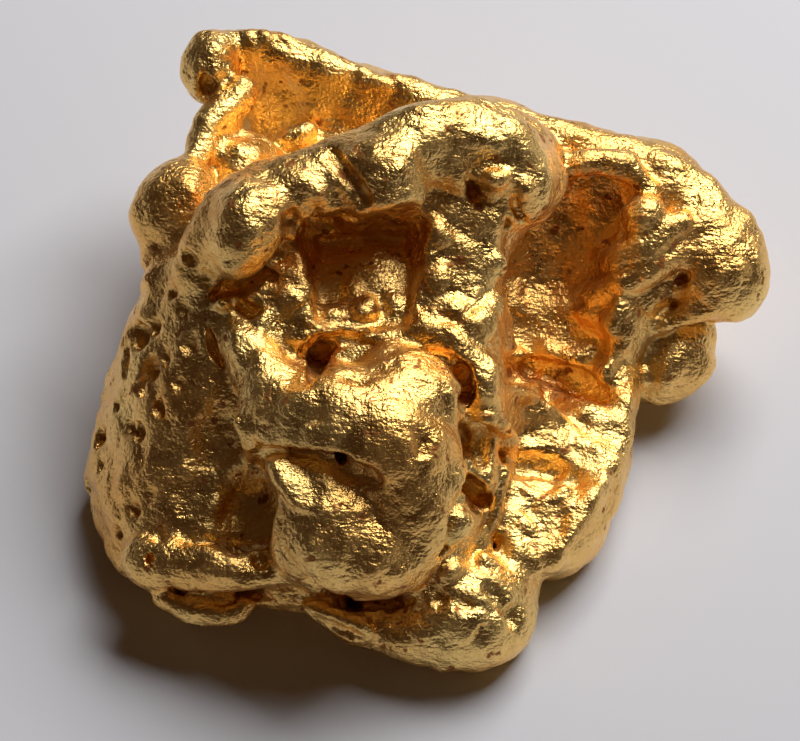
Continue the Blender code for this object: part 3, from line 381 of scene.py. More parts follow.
outline = [
    (-5.3, 7.3), (-5.1, 8.0), (-4.3, 8.5), (-2.9, 8.35), (-0.9, 7.65), (0.8, 7.15), (3.0, 6.55),
    (5.0, 5.9), (6.2, 5.6), (7.2, 4.8), (6.0, 4.0), (3.0, 4.0), (-1.0, 4.5), (-3.8, 5.0), (-4.4, 6.4),
]
plate(FACE, outline, -9.95, -7.55, 0.6, 0.4, (0.15, 0.45))
roll(FACE, [(-3.6, 5.2, -3.5, 0.4), (-2.2, 5.7, -3.7, 0.6), (-0.3, 6.2, -3.9, 0.45)], 0.4, True)
lump(FACE, (-4.75, 7.55, -4.7), (0.7, 0.95, 0.9), 0, 0.25)
roll(FACE, [(-4.0, 6.9, -4.1, 0.45), (-4.6, 6.2, -3.8, 0.55), (-5.0, 5.5, -3.5, 0.5)], 0.3)
pit(FACE, -4.85, 7.1, (0.28, 0.4, 0.35), 0)
lump(FACE, (-3.9, 4.9, -4.3), (1.1, 1.1, 1.3), 0, 0.4)
lump(FACE, (-2.6, 5.9, -4.7), (0.6, 0.35, 0.4), 20, 0.2)
print("the slab's skin is", round(surface(FACE, 1.0, 6.5), 2), "mm out")

# %% The left shoulder
lump(FACE, (-5.55, 4.05, -2.9), (1.15, 1.35, 1.2), -20, 0.4)
lump(FACE, (-5.95, 2.85, -2.8), (0.65, 0.55, 0.6), 20, 0.2)
lump(FACE, (-5.95, 2.15, -2.3), (0.55, 0.75, 0.6), -25, 0.2)
lump(FACE, (-6.2, 1.3, -2.3), (0.5, 0.5, 0.5), 0, 0.2)
print("the shoulder's skin is", round(surface(FACE, -5.5, 4.0), 2), "mm out")

# %% [markdown]
# ## The other sides
#
# A nugget is as lumpy behind as in front. Placing a hundred forms by hand would teach nothing, so they are
# scattered with a fixed seed. A form that the main face could see is left out, because that side is shaped
# one by one.

# %% Scattered lumps and pits
HIDDEN_DEPTH = 1.8


def bump(view, right, up, sizes, stand=0.3, turn=0, soft=0.3):
    """A lump on the skin. It stands out by this share of its thickness."""
    out = surface(view, right, up) - sizes[2] * (1 - 2 * stand)
    lump(view, (right, up, out), sizes, turn, soft)


def scatter(view, low, high, count, sizes, seed, pits=0.4):
    """Lumps and pits at random over a rectangle of a view, out of sight of the main face."""
    random = np.random.default_rng(seed)
    for _ in range(count):
        right, up = random.uniform(low, high)
        wide, tall = random.uniform(*sizes, 2)
        turn = random.uniform(0, 180)
        kind = random.random()
        spot = view.place(right, up, surface(view, right, up))
        on_face = FACE.seen(spot)
        edge = max(wide, tall)
        cover = min(
            surface(FACE, on_face[0] + a, on_face[1] + b)
            for a, b in ((0, 0), (edge, 0), (-edge, 0), (0, edge), (0, -edge))
        )
        if cover == EMPTY_DEPTH or cover - on_face[2] < HIDDEN_DEPTH:
            continue
        if kind < pits:
            pit(view, right, up, (wide, tall, 0.5 * wide), turn, 0.15)
        else:
            bump(view, right, up, (wide, tall, 0.7 * wide), 0.3, turn, 0.2)


scatter(BACK, (-8.0, -5.5), (7.5, 3.0), 90, (0.5, 1.5), 5)
scatter(LEFT, (-6.0, -5.5), (8.0, -2.0), 30, (0.3, 0.55), 6, 0.6)
scatter(RIGHT, (-4.0, -5.5), (8.0, -1.0), 30, (0.35, 0.8), 7)
print("with the other sides:", volume_so_far(), "cubic mm")

# %% [markdown]
# ## Underneath
#
# It rests on a few high spots. A gently rolling sheet trims the underside, and the feet are added again as
# separate lumps. Later they are cut level, as a heavy soft metal wears where it lies.

# %% Trim the underside and add the feet
def trim_under(height, amount, size, seed):
    """Takes away what is below a gently rolling sheet at this height above the ground."""
    sheet = height + amount * rolling_noise(axes[:2] + [np.zeros(1)], size, seed)
    everywhere = tuple(slice(n) for n in counts)
    blend(everywhere, axes[2] - sheet, 0.5, carve=True)


trim_under(0.6, 0.3, 2.5, 51)
lump(TOP, (1.75, -4.1, -4.8), (1.4, 1.3, 1.3), 0, 0.4)
lump(TOP, (-4.3, -0.4, -4.9), (1.5, 1.3, 1.2), 0, 0.7)
lump(TOP, (-3.4, 5.2, -4.9), (1.4, 1.2, 1.2), 0, 0.7)
lump(TOP, (3.8, 3.2, -4.9), (1.4, 1.3, 1.2), 0, 0.7)
lump(TOP, (3.7, -1.3, -4.9), (1.2, 1.4, 1.2), -20, 0.7)
print("with its feet:", volume_so_far(), "cubic mm")

# %% [markdown]
# ## The deep hollow
#
# Right of the block a crystal or a pebble once sat, and left a deep hollow. Its walls throw light from one
# to the other, and each bounce takes more of the blue away, which is why such a hollow glows orange. It
# needs no orange paint, only real depth.

# %% The hollow and its rolled rim
def fold(view, path, stand=0.3, soft=0.3):
    """A ridge along the skin. path holds right, up and radius."""
    track = [
        (r, u, surface(view, r, u) - radius * (1 - 2 * stand), radius)
        for r, u, radius in smooth_path(path, 3)
    ]
    roll(view, track, soft)


def slit(view, path, depth, soft=0.1):
    """A groove along the skin. path holds right, up and radius."""
    track = smooth_path(path, 3)
    outs = [surface(view, r, u) for r, u, _ in track]
    for share in (0.25, 1.0):
        steps = [(r, u, o - share * depth, w) for (r, u, w), o in zip(track, outs)]
        roll(view, steps, soft, carve=True)


lump(FACE, (3.8, 2.4, -3.7), (1.7, 2.2, 1.4), 0, 0.4, carve=True)
lump(FACE, (4.5, 3.7, -3.9), (1.5, 1.2, 1.0), 15, 0.4, carve=True)
lump(FACE, (3.8, 0.9, -3.8), (1.6, 1.0, 1.3), -15, 0.3, carve=True)
lump(FACE, (3.7, -0.35, -3.7), (1.3, 0.65, 1.2), -12, 0.6, carve=True)
roll(FACE, [(3.7, 5.1, -3.7, 0.3), (4.9, 5.2, -3.8, 0.34), (5.8, 5.0, -3.9, 0.34)], 0.2)
roll(FACE, [(5.8, 5.0, -3.9, 0.34), (6.2, 4.5, -3.9, 0.36), (6.3, 4.0, -3.9, 0.36)], 0.2)
lump(FACE, (6.15, 3.95, -3.7), (0.55, 0.6, 0.6), -20, 0.15)
roll(FACE, [(5.3, 2.8, -4.2, 0.3), (6.1, 3.15, -3.6, 0.42), (7.0, 3.7, -3.8, 0.4)], 0.1)
roll(FACE, [(4.9, 2.0, -4.5, 0.26), (5.8, 2.4, -3.8, 0.34), (7.0, 3.0, -3.8, 0.36)], 0.1)
slit(FACE, [(5.9, 2.0, 0.12), (6.5, 2.1, 0.2), (7.1, 2.4, 0.14)], 0.4)
roll(FACE, [(4.7, 1.35, -4.8, 0.25), (5.6, 1.5, -4.3, 0.3), (6.6, 2.0, -4.4, 0.3)], 0.08)
roll(FACE, [(5.9, 0.85, -4.8, 0.25), (6.8, 1.25, -4.3, 0.32), (7.8, 1.7, -4.2, 0.45)], 0.12)
fold(FACE, [(3.4, 0.85, 0.12), (3.9, 0.3, 0.17), (4.5, 0.3, 0.17), (4.8, 0.6, 0.12)], 0.45, 0.15)
print("the hollow is", round(surface(FACE, 6.4, 4.0) - surface(FACE, 4.2, 2.4), 2), "mm deep")

# %% Terraces of the slope
fold(FACE, [(2.8, -0.4, 0.2), (3.6, -0.75, 0.3), (5.0, -1.3, 0.34)], 0.18)
fold(FACE, [(3.1, -1.9, 0.2), (4.2, -1.75, 0.3), (4.75, -2.0, 0.34)], 0.18)
fold(FACE, [(5.45, -0.8, 0.25), (5.5, -1.5, 0.3), (5.3, -2.3, 0.25)], 0.18)
fold(FACE, [(3.0, -2.9, 0.14), (3.5, -3.35, 0.2), (4.0, -3.1, 0.2), (4.0, -2.6, 0.14)], 0.22, 0.15)
fold(FACE, [(5.0, -2.8, 0.22), (4.5, -3.7, 0.26), (3.9, -4.6, 0.24)], 0.22, 0.15)
fold(FACE, [(2.9, -3.6, 0.18), (3.4, -4.2, 0.24), (3.5, -4.9, 0.2)], 0.22, 0.15)
slit(FACE, [(2.6, -2.35, 0.28), (3.5, -2.35, 0.3), (4.3, -2.7, 0.25)], 0.15, 0.2)
slit(FACE, [(2.8, 0.1, 0.3), (4.0, -0.1, 0.34), (4.9, -0.6, 0.3)], 0.1, 0.25)
print("slope ridges added")

# %% [markdown]
# ## Rim, folded lobe and lower edge
#
# These three carry the likeness. The rim is a hammered edge turned over on itself, the lobe is a tongue of
# metal folded onto a smaller one, and the lower edge is where both were pressed against stones.

# %% The rim along the top
roll(
    FACE,
    [
        (-5.1, 2.6, -0.9, 0.6),
        (-4.3, 3.5, -0.4, 0.95),
        (-3.3, 4.25, -0.4, 0.95),
        (-2.0, 4.75, -0.4, 0.9),
        (-0.9, 5.2, -0.5, 0.95),
        (0.6, 5.6, -0.5, 0.95),
        (2.1, 5.8, -0.9, 0.95),
        (2.95, 5.2, -1.1, 0.85),
        (3.05, 4.4, -1.2, 0.75),
    ],
    0.35,
)
outer_wall = [(1.0, 6.2), (2.4, 6.65), (3.5, 6.1), (4.05, 5.1), (3.95, 4.4), (3.3, 3.8), (2.2, 4.2)]
plate(FACE, outer_wall, -4.6, -1.3, 0.8, 0.3)
crown = [
    (0.5, 5.8), (1.0, 6.3), (1.7, 6.4), (2.4, 6.05), (3.0, 5.4), (3.4, 4.9), (3.3, 4.5), (2.4, 4.3),
    (1.4, 4.5), (0.7, 5.0),
]
plate(FACE, crown, -3.0, 0.68, 0.5, 0.2, (-0.25, -0.05))
lump(FACE, (-3.85, 3.6, 0.2), (0.9, 1.25, 0.95), -28, 0.3)
lump(FACE, (-0.5, 4.7, 0.05), (1.2, 1.2, 1.05), -10, 0.3)
lump(FACE, (1.9, 5.75, -0.75), (1.0, 0.5, 0.95), -14, 0.2)
lump(FACE, (2.4, 4.75, -0.4), (0.48, 0.3, 0.5), 10, 0.1)
lump(FACE, (3.15, 4.6, -0.7), (0.3, 0.45, 0.5), 0, 0.1)
slit(FACE, [(-1.6, 5.4, 0.08), (-1.2, 4.8, 0.12), (-0.95, 4.3, 0.08)], 0.15, 0.2)
fold(FACE, [(-2.4, 4.7, 0.2), (-1.8, 4.3, 0.25), (-1.4, 4.0, 0.2)], 0.4, 0.2)
slit(FACE, [(1.7, 4.8, 0.1), (1.95, 4.3, 0.13), (2.4, 3.9, 0.13), (2.6, 3.7, 0.1)], 0.3)
slit(FACE, [(2.85, 4.3, 0.08), (2.95, 4.0, 0.1), (3.1, 3.75, 0.08)], 0.3)
print("the rim's skin is", round(surface(FACE, -0.2, 5.2), 2), "mm out")

# %% The folded lobe
lump(FACE, (-0.9, -2.9, -1.0), (2.4, 2.8, 2.1), 0, 0.5)
lump(FACE, (0.25, -0.7, 0.05), (1.35, 1.1, 1.1), -20, 0.3)
roll(
    FACE,
    [
        (-3.6, 0.5, -0.3, 0.45),
        (-3.35, -0.4, 0.0, 0.8),
        (-2.7, -1.3, 0.1, 1.2),
        (-1.5, -1.55, 0.2, 1.6),
        (-0.4, -1.9, 0.4, 1.65),
        (0.1, -2.6, 0.45, 1.45),
        (0.2, -3.3, 0.4, 1.35),
        (-0.1, -4.0, 0.15, 1.25),
        (-0.9, -4.2, -0.05, 1.1),
        (-1.9, -4.1, -0.15, 0.8),
    ],
    0.3,
)
# The recess under the hood, and the smaller roll in it.
roll(
    FACE,
    [(-3.9, -2.05, 0.3, 0.28), (-2.9, -2.2, 0.95, 0.35), (-1.8, -2.4, 1.5, 0.45), (-0.9, -2.8, 1.8, 0.4)],
    0.1,
    carve=True,
)
lump(FACE, (-1.6, -4.0, 0.0), (2.1, 1.7, 1.75), -25, 0.1)
lump(FACE, (-0.5, -4.3, 0.1), (1.2, 1.5, 1.6), -10, 0.15)
facet = [
    (-3.35, -2.25), (-1.9, -2.15), (-0.9, -2.5), (-0.1, -3.0), (-0.1, -3.6), (-2.0, -3.7), (-2.8, -3.4),
]
plate(FACE, facet, -2.4, -0.41, 0.3, 0.15, (-0.2, -0.5))
print("the lobe's skin is", round(surface(FACE, -0.6, -1.4), 2), "mm out")

# %% The foot, lip and ledge
lump(FACE, (1.85, -6.0, -1.4), (1.5, 1.4, 1.4), 0, 0.4)
lump(FACE, (0.8, -6.1, -1.6), (1.0, 1.05, 1.2), 0, 0.3)
lump(FACE, (2.75, -5.6, -1.9), (0.75, 1.1, 1.0), 0, 0.4)
for right, up, size in (
    (1.0, -5.6, 0.3), (1.6, -5.9, 0.25), (2.4, -5.5, 0.3), (2.0, -6.6, 0.28), (2.9, -6.2, 0.25),
    (1.3, -6.8, 0.22), (0.7, -6.4, 0.2),
):
    pit(FACE, right, up, (1.4 * size, size, 0.4 * size), 40 * up, 0.15)
roll(
    FACE,
    [(-6.4, -4.8, -1.1, 0.6), (-5.2, -4.95, -0.5, 0.5), (-3.8, -5.1, -0.1, 0.5), (-2.6, -4.9, 0.0, 0.4)],
    0.3,
)
lump(FACE, (-4.7, -5.75, -1.5), (1.1, 0.6, 0.8), -5, 0.2)
roll(
    FACE,
    [
        (-5.9, -5.6, -1.0, 0.2),
        (-5.2, -6.05, -0.8, 0.26),
        (-4.5, -6.3, -0.7, 0.26),
        (-4.0, -6.15, -0.7, 0.24),
        (-3.7, -5.75, -0.8, 0.22),
    ],
    0.1,
)
roll(FACE, [(-3.6, -5.5, -1.2, 0.5), (-2.2, -5.6, -1.0, 0.5), (-1.2, -6.15, -1.0, 0.5)], 0.3)
roll(FACE, [(-1.2, -6.15, -1.0, 0.5), (0.0, -6.55, -1.0, 0.55), (1.0, -6.6, -1.2, 0.8)], 0.3)
lump(FACE, (-1.45, -6.2, -0.5), (1.1, 0.4, 0.5), -22, 0.1)
slit(FACE, [(-2.0, -6.25, 0.09), (-1.4, -6.5, 0.12), (-0.9, -6.7, 0.1)], 0.15)
slit(FACE, [(-5.8, -5.35, 0.1), (-5.0, -5.6, 0.2), (-4.0, -5.6, 0.18), (-3.2, -5.7, 0.08)], 0.5)
print("with the lower edge:", volume_so_far(), "cubic mm")

# %% [markdown]
# ## Beaten skin
#
# Stones beat the whole skin before the sharp pits opened. Low noise raises and lowers it, and the fold of a
# second noise, its value without the sign, gives round swellings with creases between them. Space is bent
# once more, at a finer size, so that the pits carved next have ragged edges.

# %% Roughen the skin
def roughen(amount, size, seed):
    """Raises and lowers the skin by up to about this many mm."""
    level[...] += amount * rolling_noise(axes, size, seed)


def pebble(amount, size, seed):
    """Covers the skin in round swellings with creases between them."""
    level[...] += amount * (0.6 - 2 * np.abs(rolling_noise(axes, size, seed)))


roughen(0.12, 1.2, 31)
pebble(0.07, 0.75, 32)
bend_space(0.12, 0.5, 41)
print("skin roughened:", volume_so_far(), "cubic mm")

# %% [markdown]
# ## Pits and slits of the face
#
# Quartz broke out here, so these forms are sharp. A pit is an outline cut in to a slanting floor, and
# a slit is a thin roll cut along the skin and again deeper, so that its walls stand steep.

# %% Small lumps between the rim and the lobe
for right, up, wide, tall in (
    (-4.35, 1.65, 0.32, 0.25), (-4.6, 1.0, 0.3, 0.3), (-4.0, 1.0, 0.3, 0.35), (-3.4, 1.1, 0.4, 0.4),
    (-2.9, 1.7, 0.4, 0.35), (-2.5, 1.1, 0.35, 0.3), (-3.1, 2.8, 0.45, 0.3), (-2.9, 2.4, 0.3, 0.25),
    (1.35, 3.9, 0.45, 0.4), (2.1, 3.8, 0.5, 0.45), (1.6, 3.1, 0.6, 0.45), (2.2, 2.7, 0.4, 0.4),
    (1.0, 2.3, 0.35, 0.3), (1.7, 2.1, 0.4, 0.35), (2.2, 1.6, 0.35, 0.4), (1.2, 1.6, 0.4, 0.4),
    (1.9, 1.1, 0.45, 0.4), (0.7, 1.3, 0.3, 0.3), (0.9, 3.4, 0.3, 0.4), (-2.6, 3.5, 0.25, 0.3),
):
    bump(FACE, right, up, (1.2 * wide, 1.2 * tall, 0.8 * tall), 0.25, 20 * up, 0.12)
fold(FACE, [(0.4, 1.1, 0.25), (1.3, 0.7, 0.42), (2.0, 0.0, 0.45), (2.1, -0.8, 0.4)], 0.4, 0.2)
lump(FACE, (0.2, -0.1, -0.2), (1.3, 0.75, 0.8), 10, 0.3)
lump(FACE, (-3.95, 0.35, -0.45), (0.45, 0.9, 0.7), 10, 0.2)
print("small lumps added")

# %% The square pit, the slits and the hollows
square = [
    (-2.1, 3.1), (-1.95, 3.3), (-0.9, 3.4), (0.0, 3.4), (0.15, 3.2), (0.15, 1.5), (0.0, 1.25),
    (-0.9, 1.1), (-1.85, 1.2), (-2.05, 1.45),
]
plate(FACE, square, -0.15, 3.0, 0.15, 0.15, (-0.1, -0.5), 0.35, carve=True)
for right, up, size in ((-1.6, 1.45, 0.3), (-0.9, 1.5, 0.32), (-0.2, 1.6, 0.3), (-1.2, 2.0, 0.25)):
    bump(FACE, right, up, (size, size, size), 0.35, 0, 0.15)
roll(FACE, [(-3.0, 4.25, 0.0, 0.15), (-2.4, 4.1, -0.4, 0.28), (-1.8, 3.7, -0.9, 0.35)], 0.1, True)
pit(FACE, -2.75, 3.75, (0.28, 0.3, 0.45), 10, 0.1)
slit(FACE, [(-2.5, 3.5, 0.06), (-2.1, 4.1, 0.08)], 0.3)
slit(FACE, [(-4.85, 1.8, 0.12), (-4.2, 2.15, 0.28), (-3.6, 2.35, 0.3), (-3.1, 2.3, 0.16)], 0.6)
slit(FACE, [(-4.1, 1.75, 0.2), (-3.7, 1.45, 0.22)], 0.4)
bump(FACE, -4.4, 1.65, (0.2, 0.17, 0.2), 0.4, 0, 0.08)
slit(FACE, [(-4.8, 1.0, 0.08), (-4.6, 0.6, 0.15), (-4.5, 0.25, 0.08)], 0.3)
slit(
    FACE,
    [
        (-2.5, 0.2, 0.2), (-2.2, 0.55, 0.34), (-1.6, 0.75, 0.34), (-0.9, 0.7, 0.26), (-0.4, 0.6, 0.16),
        (-0.1, 0.5, 0.08),
    ],
    1.3,
)
slit(
    FACE,
    [
        (0.55, 0.55, 0.12), (1.1, 0.35, 0.24), (1.55, -0.05, 0.3), (1.65, -0.45, 0.26), (1.5, -0.9, 0.16),
    ],
    0.8,
)
slit(FACE, [(-1.85, 0.55, 0.3), (-2.1, 0.1, 0.26), (-2.25, -0.35, 0.12)], 0.8)
slit(FACE, [(-1.58, -1.8, 0.18), (-1.33, -2.4, 0.28), (-0.75, -2.85, 0.2)], 1.8)
for right, up, turn in ((-1.0, -0.2, 30), (0.6, -1.7, 80), (-2.3, -0.9, -30)):
    pit(FACE, right, up, (0.5, 0.28, 0.14), turn, 0.2)
lump(FACE, (-3.95, -3.45, 0.15), (1.1, 1.15, 1.2), -25, 0.25, carve=True)
roll(FACE, [(-3.5, -2.7, 0.2, 0.3), (-3.2, -3.5, -0.1, 0.55), (-2.85, -4.2, -0.1, 0.5)], 0.2, True)
lump(FACE, (-4.8, -1.9, 0.15), (0.95, 1.4, 1.0), -10, 0.25, carve=True)
lump(FACE, (-5.2, -3.2, 0.0), (0.6, 1.0, 0.8), -10, 0.25, carve=True)
fold(
    FACE,
    [(-3.95, -1.2, 0.16), (-3.7, -1.95, 0.16), (-4.1, -2.5, 0.17), (-4.7, -3.4, 0.18), (-5.1, -4.1, 0.15)],
    0.4,
    0.25,
)
slit(
    FACE,
    [(-2.3, -5.15, 0.1), (-1.7, -5.6, 0.18), (-0.9, -5.8, 0.2), (-0.1, -5.85, 0.18), (0.6, -5.55, 0.1)],
    0.8,
)
slit(FACE, [(1.5, -1.3, 0.14), (1.65, -2.4, 0.16), (1.45, -3.5, 0.18), (1.1, -4.5, 0.16)], 0.35)
for right, up, size in (
    (-7.4, -1.7, 0.3), (-7.8, -3.0, 0.25), (-7.5, -4.6, 0.28), (-6.5, -1.6, 0.22), (-6.4, -2.2, 0.15),
    (-5.5, 1.45, 0.15), (-5.25, 2.7, 0.25), (-4.85, 2.3, 0.18), (-5.25, 0.7, 0.25), (-6.6, 0.8, 0.35),
    (-6.3, 0.0, 0.3), (-6.9, 0.2, 0.3), (-6.2, -4.8, 0.2), (-3.6, -4.8, 0.2), (-7.0, 0.7, 0.15),
    (-6.2, 1.1, 0.2), (-5.9, 0.3, 0.18), (-6.5, -0.5, 0.2), (-7.1, -0.8, 0.15), (-6.0, -1.0, 0.2),
    (-5.6, -0.4, 0.15), (-6.75, -1.5, 0.12), (-6.2, -2.9, 0.15), (-7.4, -2.4, 0.15), (-6.6, -3.3, 0.2),
    (-7.0, -4.0, 0.15), (-6.0, -4.2, 0.15), (-5.7, 1.9, 0.15),
):
    pit(FACE, right, up, (size, 1.3 * size, 0.9 * size), 20, 0.1)
print("the square pit's floor is", round(surface(FACE, -1.0, 2.4), 2), "mm out")

# %% The curled ear and the facets right of the lobe
fold(
    FACE,
    [(1.7, -1.2, 0.14), (2.3, -1.2, 0.24), (2.6, -1.9, 0.26), (2.45, -2.8, 0.26), (2.2, -3.9, 0.22)],
    0.5,
    0.15,
)
pit(FACE, 2.0, -2.0, (0.3, 0.6, 0.4))
slit(FACE, [(1.5, -2.7, 0.2), (1.8, -3.1, 0.34), (2.1, -3.4, 0.2)], 0.9)
bump(FACE, 1.35, -3.8, (0.55, 0.45, 0.35), 0.4, -30, 0.12)
bump(FACE, 2.0, -4.3, (0.35, 0.35, 0.3), 0.4, 0, 0.12)
bump(FACE, 1.3, -5.0, (0.5, 0.35, 0.35), 0.35, 0, 0.12)
bump(FACE, 2.2, -4.8, (0.35, 0.3, 0.3), 0.4, 0, 0.12)
pebble(0.035, 0.35, 33)
print("the nugget is", volume_so_far(), "cubic mm")

# %% [markdown]
# ## From distances to a skin
#
# Geometry Nodes draw the skin where the distance is zero. The clay's distances ride on loose points, in
# grid order. Volume Cube asks for a density at every place, Sample Index looks up the point that belongs
# there, and Volume to Mesh draws the surface where the density passes the threshold. A Remesh modifier
# would need a mesh to start from, and this needs none.

# %% Small helpers for node trees
def math_node(tree, operation, first, second):
    """A Math node, whose inputs are links or numbers."""
    node = tree.nodes.new("ShaderNodeMath")
    node.operation = operation
    for socket, value in zip(node.inputs, (first, second)):
        if isinstance(value, bpy.types.NodeSocket):
            tree.links.new(value, socket)
        else:
            socket.default_value = value
    return node.outputs[0]


def new_tree(name, inputs):
    """A node tree with geometry in and out and these named inputs, and its group nodes."""
    tree = bpy.data.node_groups.new(name, "GeometryNodeTree")
    tree.interface.new_socket("Geometry", in_out="INPUT", socket_type="NodeSocketGeometry")
    tree.interface.new_socket("Geometry", in_out="OUTPUT", socket_type="NodeSocketGeometry")
    for label, kind in inputs:
        tree.interface.new_socket(label, in_out="INPUT", socket_type=kind)
    return tree, tree.nodes.new("NodeGroupInput"), tree.nodes.new("NodeGroupOutput")


def finish_tree(tree, group_in, group_out, geometry):
    """Every tree ends in Realize Instances and Set Material."""
    realize = tree.nodes.new("GeometryNodeRealizeInstances")
    dress = tree.nodes.new("GeometryNodeSetMaterial")
    tree.links.new(geometry, realize.inputs[0])
    tree.links.new(realize.outputs[0], dress.inputs["Geometry"])
    tree.links.new(group_in.outputs["Material"], dress.inputs["Material"])
    tree.links.new(dress.outputs[0], group_out.inputs[0])


print("helpers ready")

# %% The tree that draws the skin
def skin_tree():
    """Reads the clay's distances, held as points, into a volume and draws its skin."""
    tree, group_in, group_out = new_tree(
        "Skin of the clay",
        [("Step", "NodeSocketFloat"), ("Threshold", "NodeSocketFloat"), ("Material", "NodeSocketMaterial")],
    )
    position = tree.nodes.new("GeometryNodeInputPosition")
    split = tree.nodes.new("ShaderNodeSeparateXYZ")
    tree.links.new(position.outputs[0], split.inputs[0])
    index = None
    for axis, low, stride in zip("XYZ", GRID_LOW, (counts[1] * counts[2], counts[2], 1)):
        from_low = math_node(tree, "SUBTRACT", split.outputs[axis], low)
        cells = math_node(tree, "DIVIDE", from_low, group_in.outputs["Step"])
        term = math_node(tree, "MULTIPLY", math_node(tree, "ROUND", cells, 0.0), float(stride))
        index = term if index is None else math_node(tree, "ADD", index, term)
    stored = tree.nodes.new("GeometryNodeInputNamedAttribute")
    stored.data_type = "FLOAT"
    stored.inputs["Name"].default_value = "level"
    sample = tree.nodes.new("GeometryNodeSampleIndex")
    sample.data_type = "FLOAT"
    tree.links.new(group_in.outputs["Geometry"], sample.inputs["Geometry"])
    tree.links.new(stored.outputs[0], sample.inputs["Value"])
    tree.links.new(index, sample.inputs["Index"])
    volume = tree.nodes.new("GeometryNodeVolumeCube")
    tree.links.new(sample.outputs[0], volume.inputs["Density"])
    volume.inputs["Min"].default_value = GRID_LOW
    volume.inputs["Max"].default_value = [axis[-1] for axis in axes]
    for name, count in zip(("Resolution X", "Resolution Y", "Resolution Z"), counts):
        volume.inputs[name].default_value = count
    skin = tree.nodes.new("GeometryNodeVolumeToMesh")
    tree.links.new(volume.outputs[0], skin.inputs["Volume"])
    tree.links.new(group_in.outputs["Threshold"], skin.inputs["Threshold"])
    finish_tree(tree, group_in, group_out, skin.outputs[0])
    return tree


def socket_id(tree, name):
    """The identifier by which a modifier knows a tree's input."""
    return next(item.identifier for item in tree.interface.items_tree if item.name == name)


def run_tree(mesh, tree, values):
    """The mesh that a node tree makes of another mesh."""
    holder = bpy.data.objects.new("Holder", mesh)
    bpy.context.scene.collection.objects.link(holder)
    modifier = holder.modifiers.new("Nodes", "NODES")
    modifier.node_group = tree
    for name, value in values.items():
        modifier[socket_id(tree, name)] = value
    graph = bpy.context.evaluated_depsgraph_get()
    made = bpy.data.meshes.new_from_object(holder.evaluated_get(graph))
    bpy.data.objects.remove(holder)
    bpy.data.meshes.remove(mesh)
    bpy.data.node_groups.remove(tree)
    return made


SKIN_THRESHOLD = 0.5
SKIN_BAND = 4 * GRID_STEP

native_gold = bpy.data.materials.new("Native gold")
clay_points = bpy.data.meshes.new("Clay points")
clay_points.vertices.add(level.size)
density = np.clip(SKIN_THRESHOLD - level / SKIN_BAND, 0, 1)
clay_points.attributes.new("level", "FLOAT", "POINT").data.foreach_set("value", density.ravel())
skin_inputs = {"Step": GRID_STEP, "Threshold": SKIN_THRESHOLD, "Material": native_gold}
skin = run_tree(clay_points, skin_tree(), skin_inputs)
print("skin faces:", len(skin.polygons))

# %% [markdown]
# ## One piece, and not too many faces
#
# A crumb that hangs free of the nugget would be wrong, since a nugget is one lump. Then the skin is thinned:
# Decimate takes faces where the skin is flat and keeps them where it bends. A piece of under 200,000
# triangles still holds forms down to about a tenth of a millimetre.

# %% Keep the largest piece and thin the skin
SKIN_TRIANGLES = 190000


def keep_largest_piece(bm):
    """Removes any crumb that is not joined to the nugget."""
    left = set(bm.verts)
    pieces = []
    while left:
        piece = {left.pop()}
        edge_of_piece = list(piece)
        while edge_of_piece:
            vert = edge_of_piece.pop()
            for edge in vert.link_edges:
                other = edge.other_vert(vert)
                if other in left:
                    left.discard(other)
                    piece.add(other)
                    edge_of_piece.append(other)
        pieces.append(piece)
    pieces.sort(key=len)
    for piece in pieces[:-1]:
        bmesh.ops.delete(bm, geom=list(piece), context="VERTS")


bm = bmesh.new()
bm.from_mesh(skin)
keep_largest_piece(bm)
bm.to_mesh(skin)
bm.free()
holder = bpy.data.objects.new("Holder", skin)
bpy.context.scene.collection.objects.link(holder)
thin = holder.modifiers.new("Thin", "DECIMATE")
thin.ratio = SKIN_TRIANGLES / sum(len(p.vertices) - 2 for p in skin.polygons)
graph = bpy.context.evaluated_depsgraph_get()
thinned = bpy.data.meshes.new_from_object(holder.evaluated_get(graph))
bpy.data.objects.remove(holder)
bpy.data.meshes.remove(skin)
print("triangles after thinning:", len(thinned.polygons))

# %% [markdown]
# ## Grain of the metal
#
# Close up, beaten gold shows fine dents, and short wrinkles between them. Geometry Nodes suit this well,
# because the relief has to follow a skin that no formula gives: noise is read at each vertex, and Set
# Position moves the vertex along its normal. Anything finer than this is left to the material.

# %% The tree that adds fine relief
NOISE_MIDDLE = 0.5
WRINKLE_HALF_WIDTH = 0.1


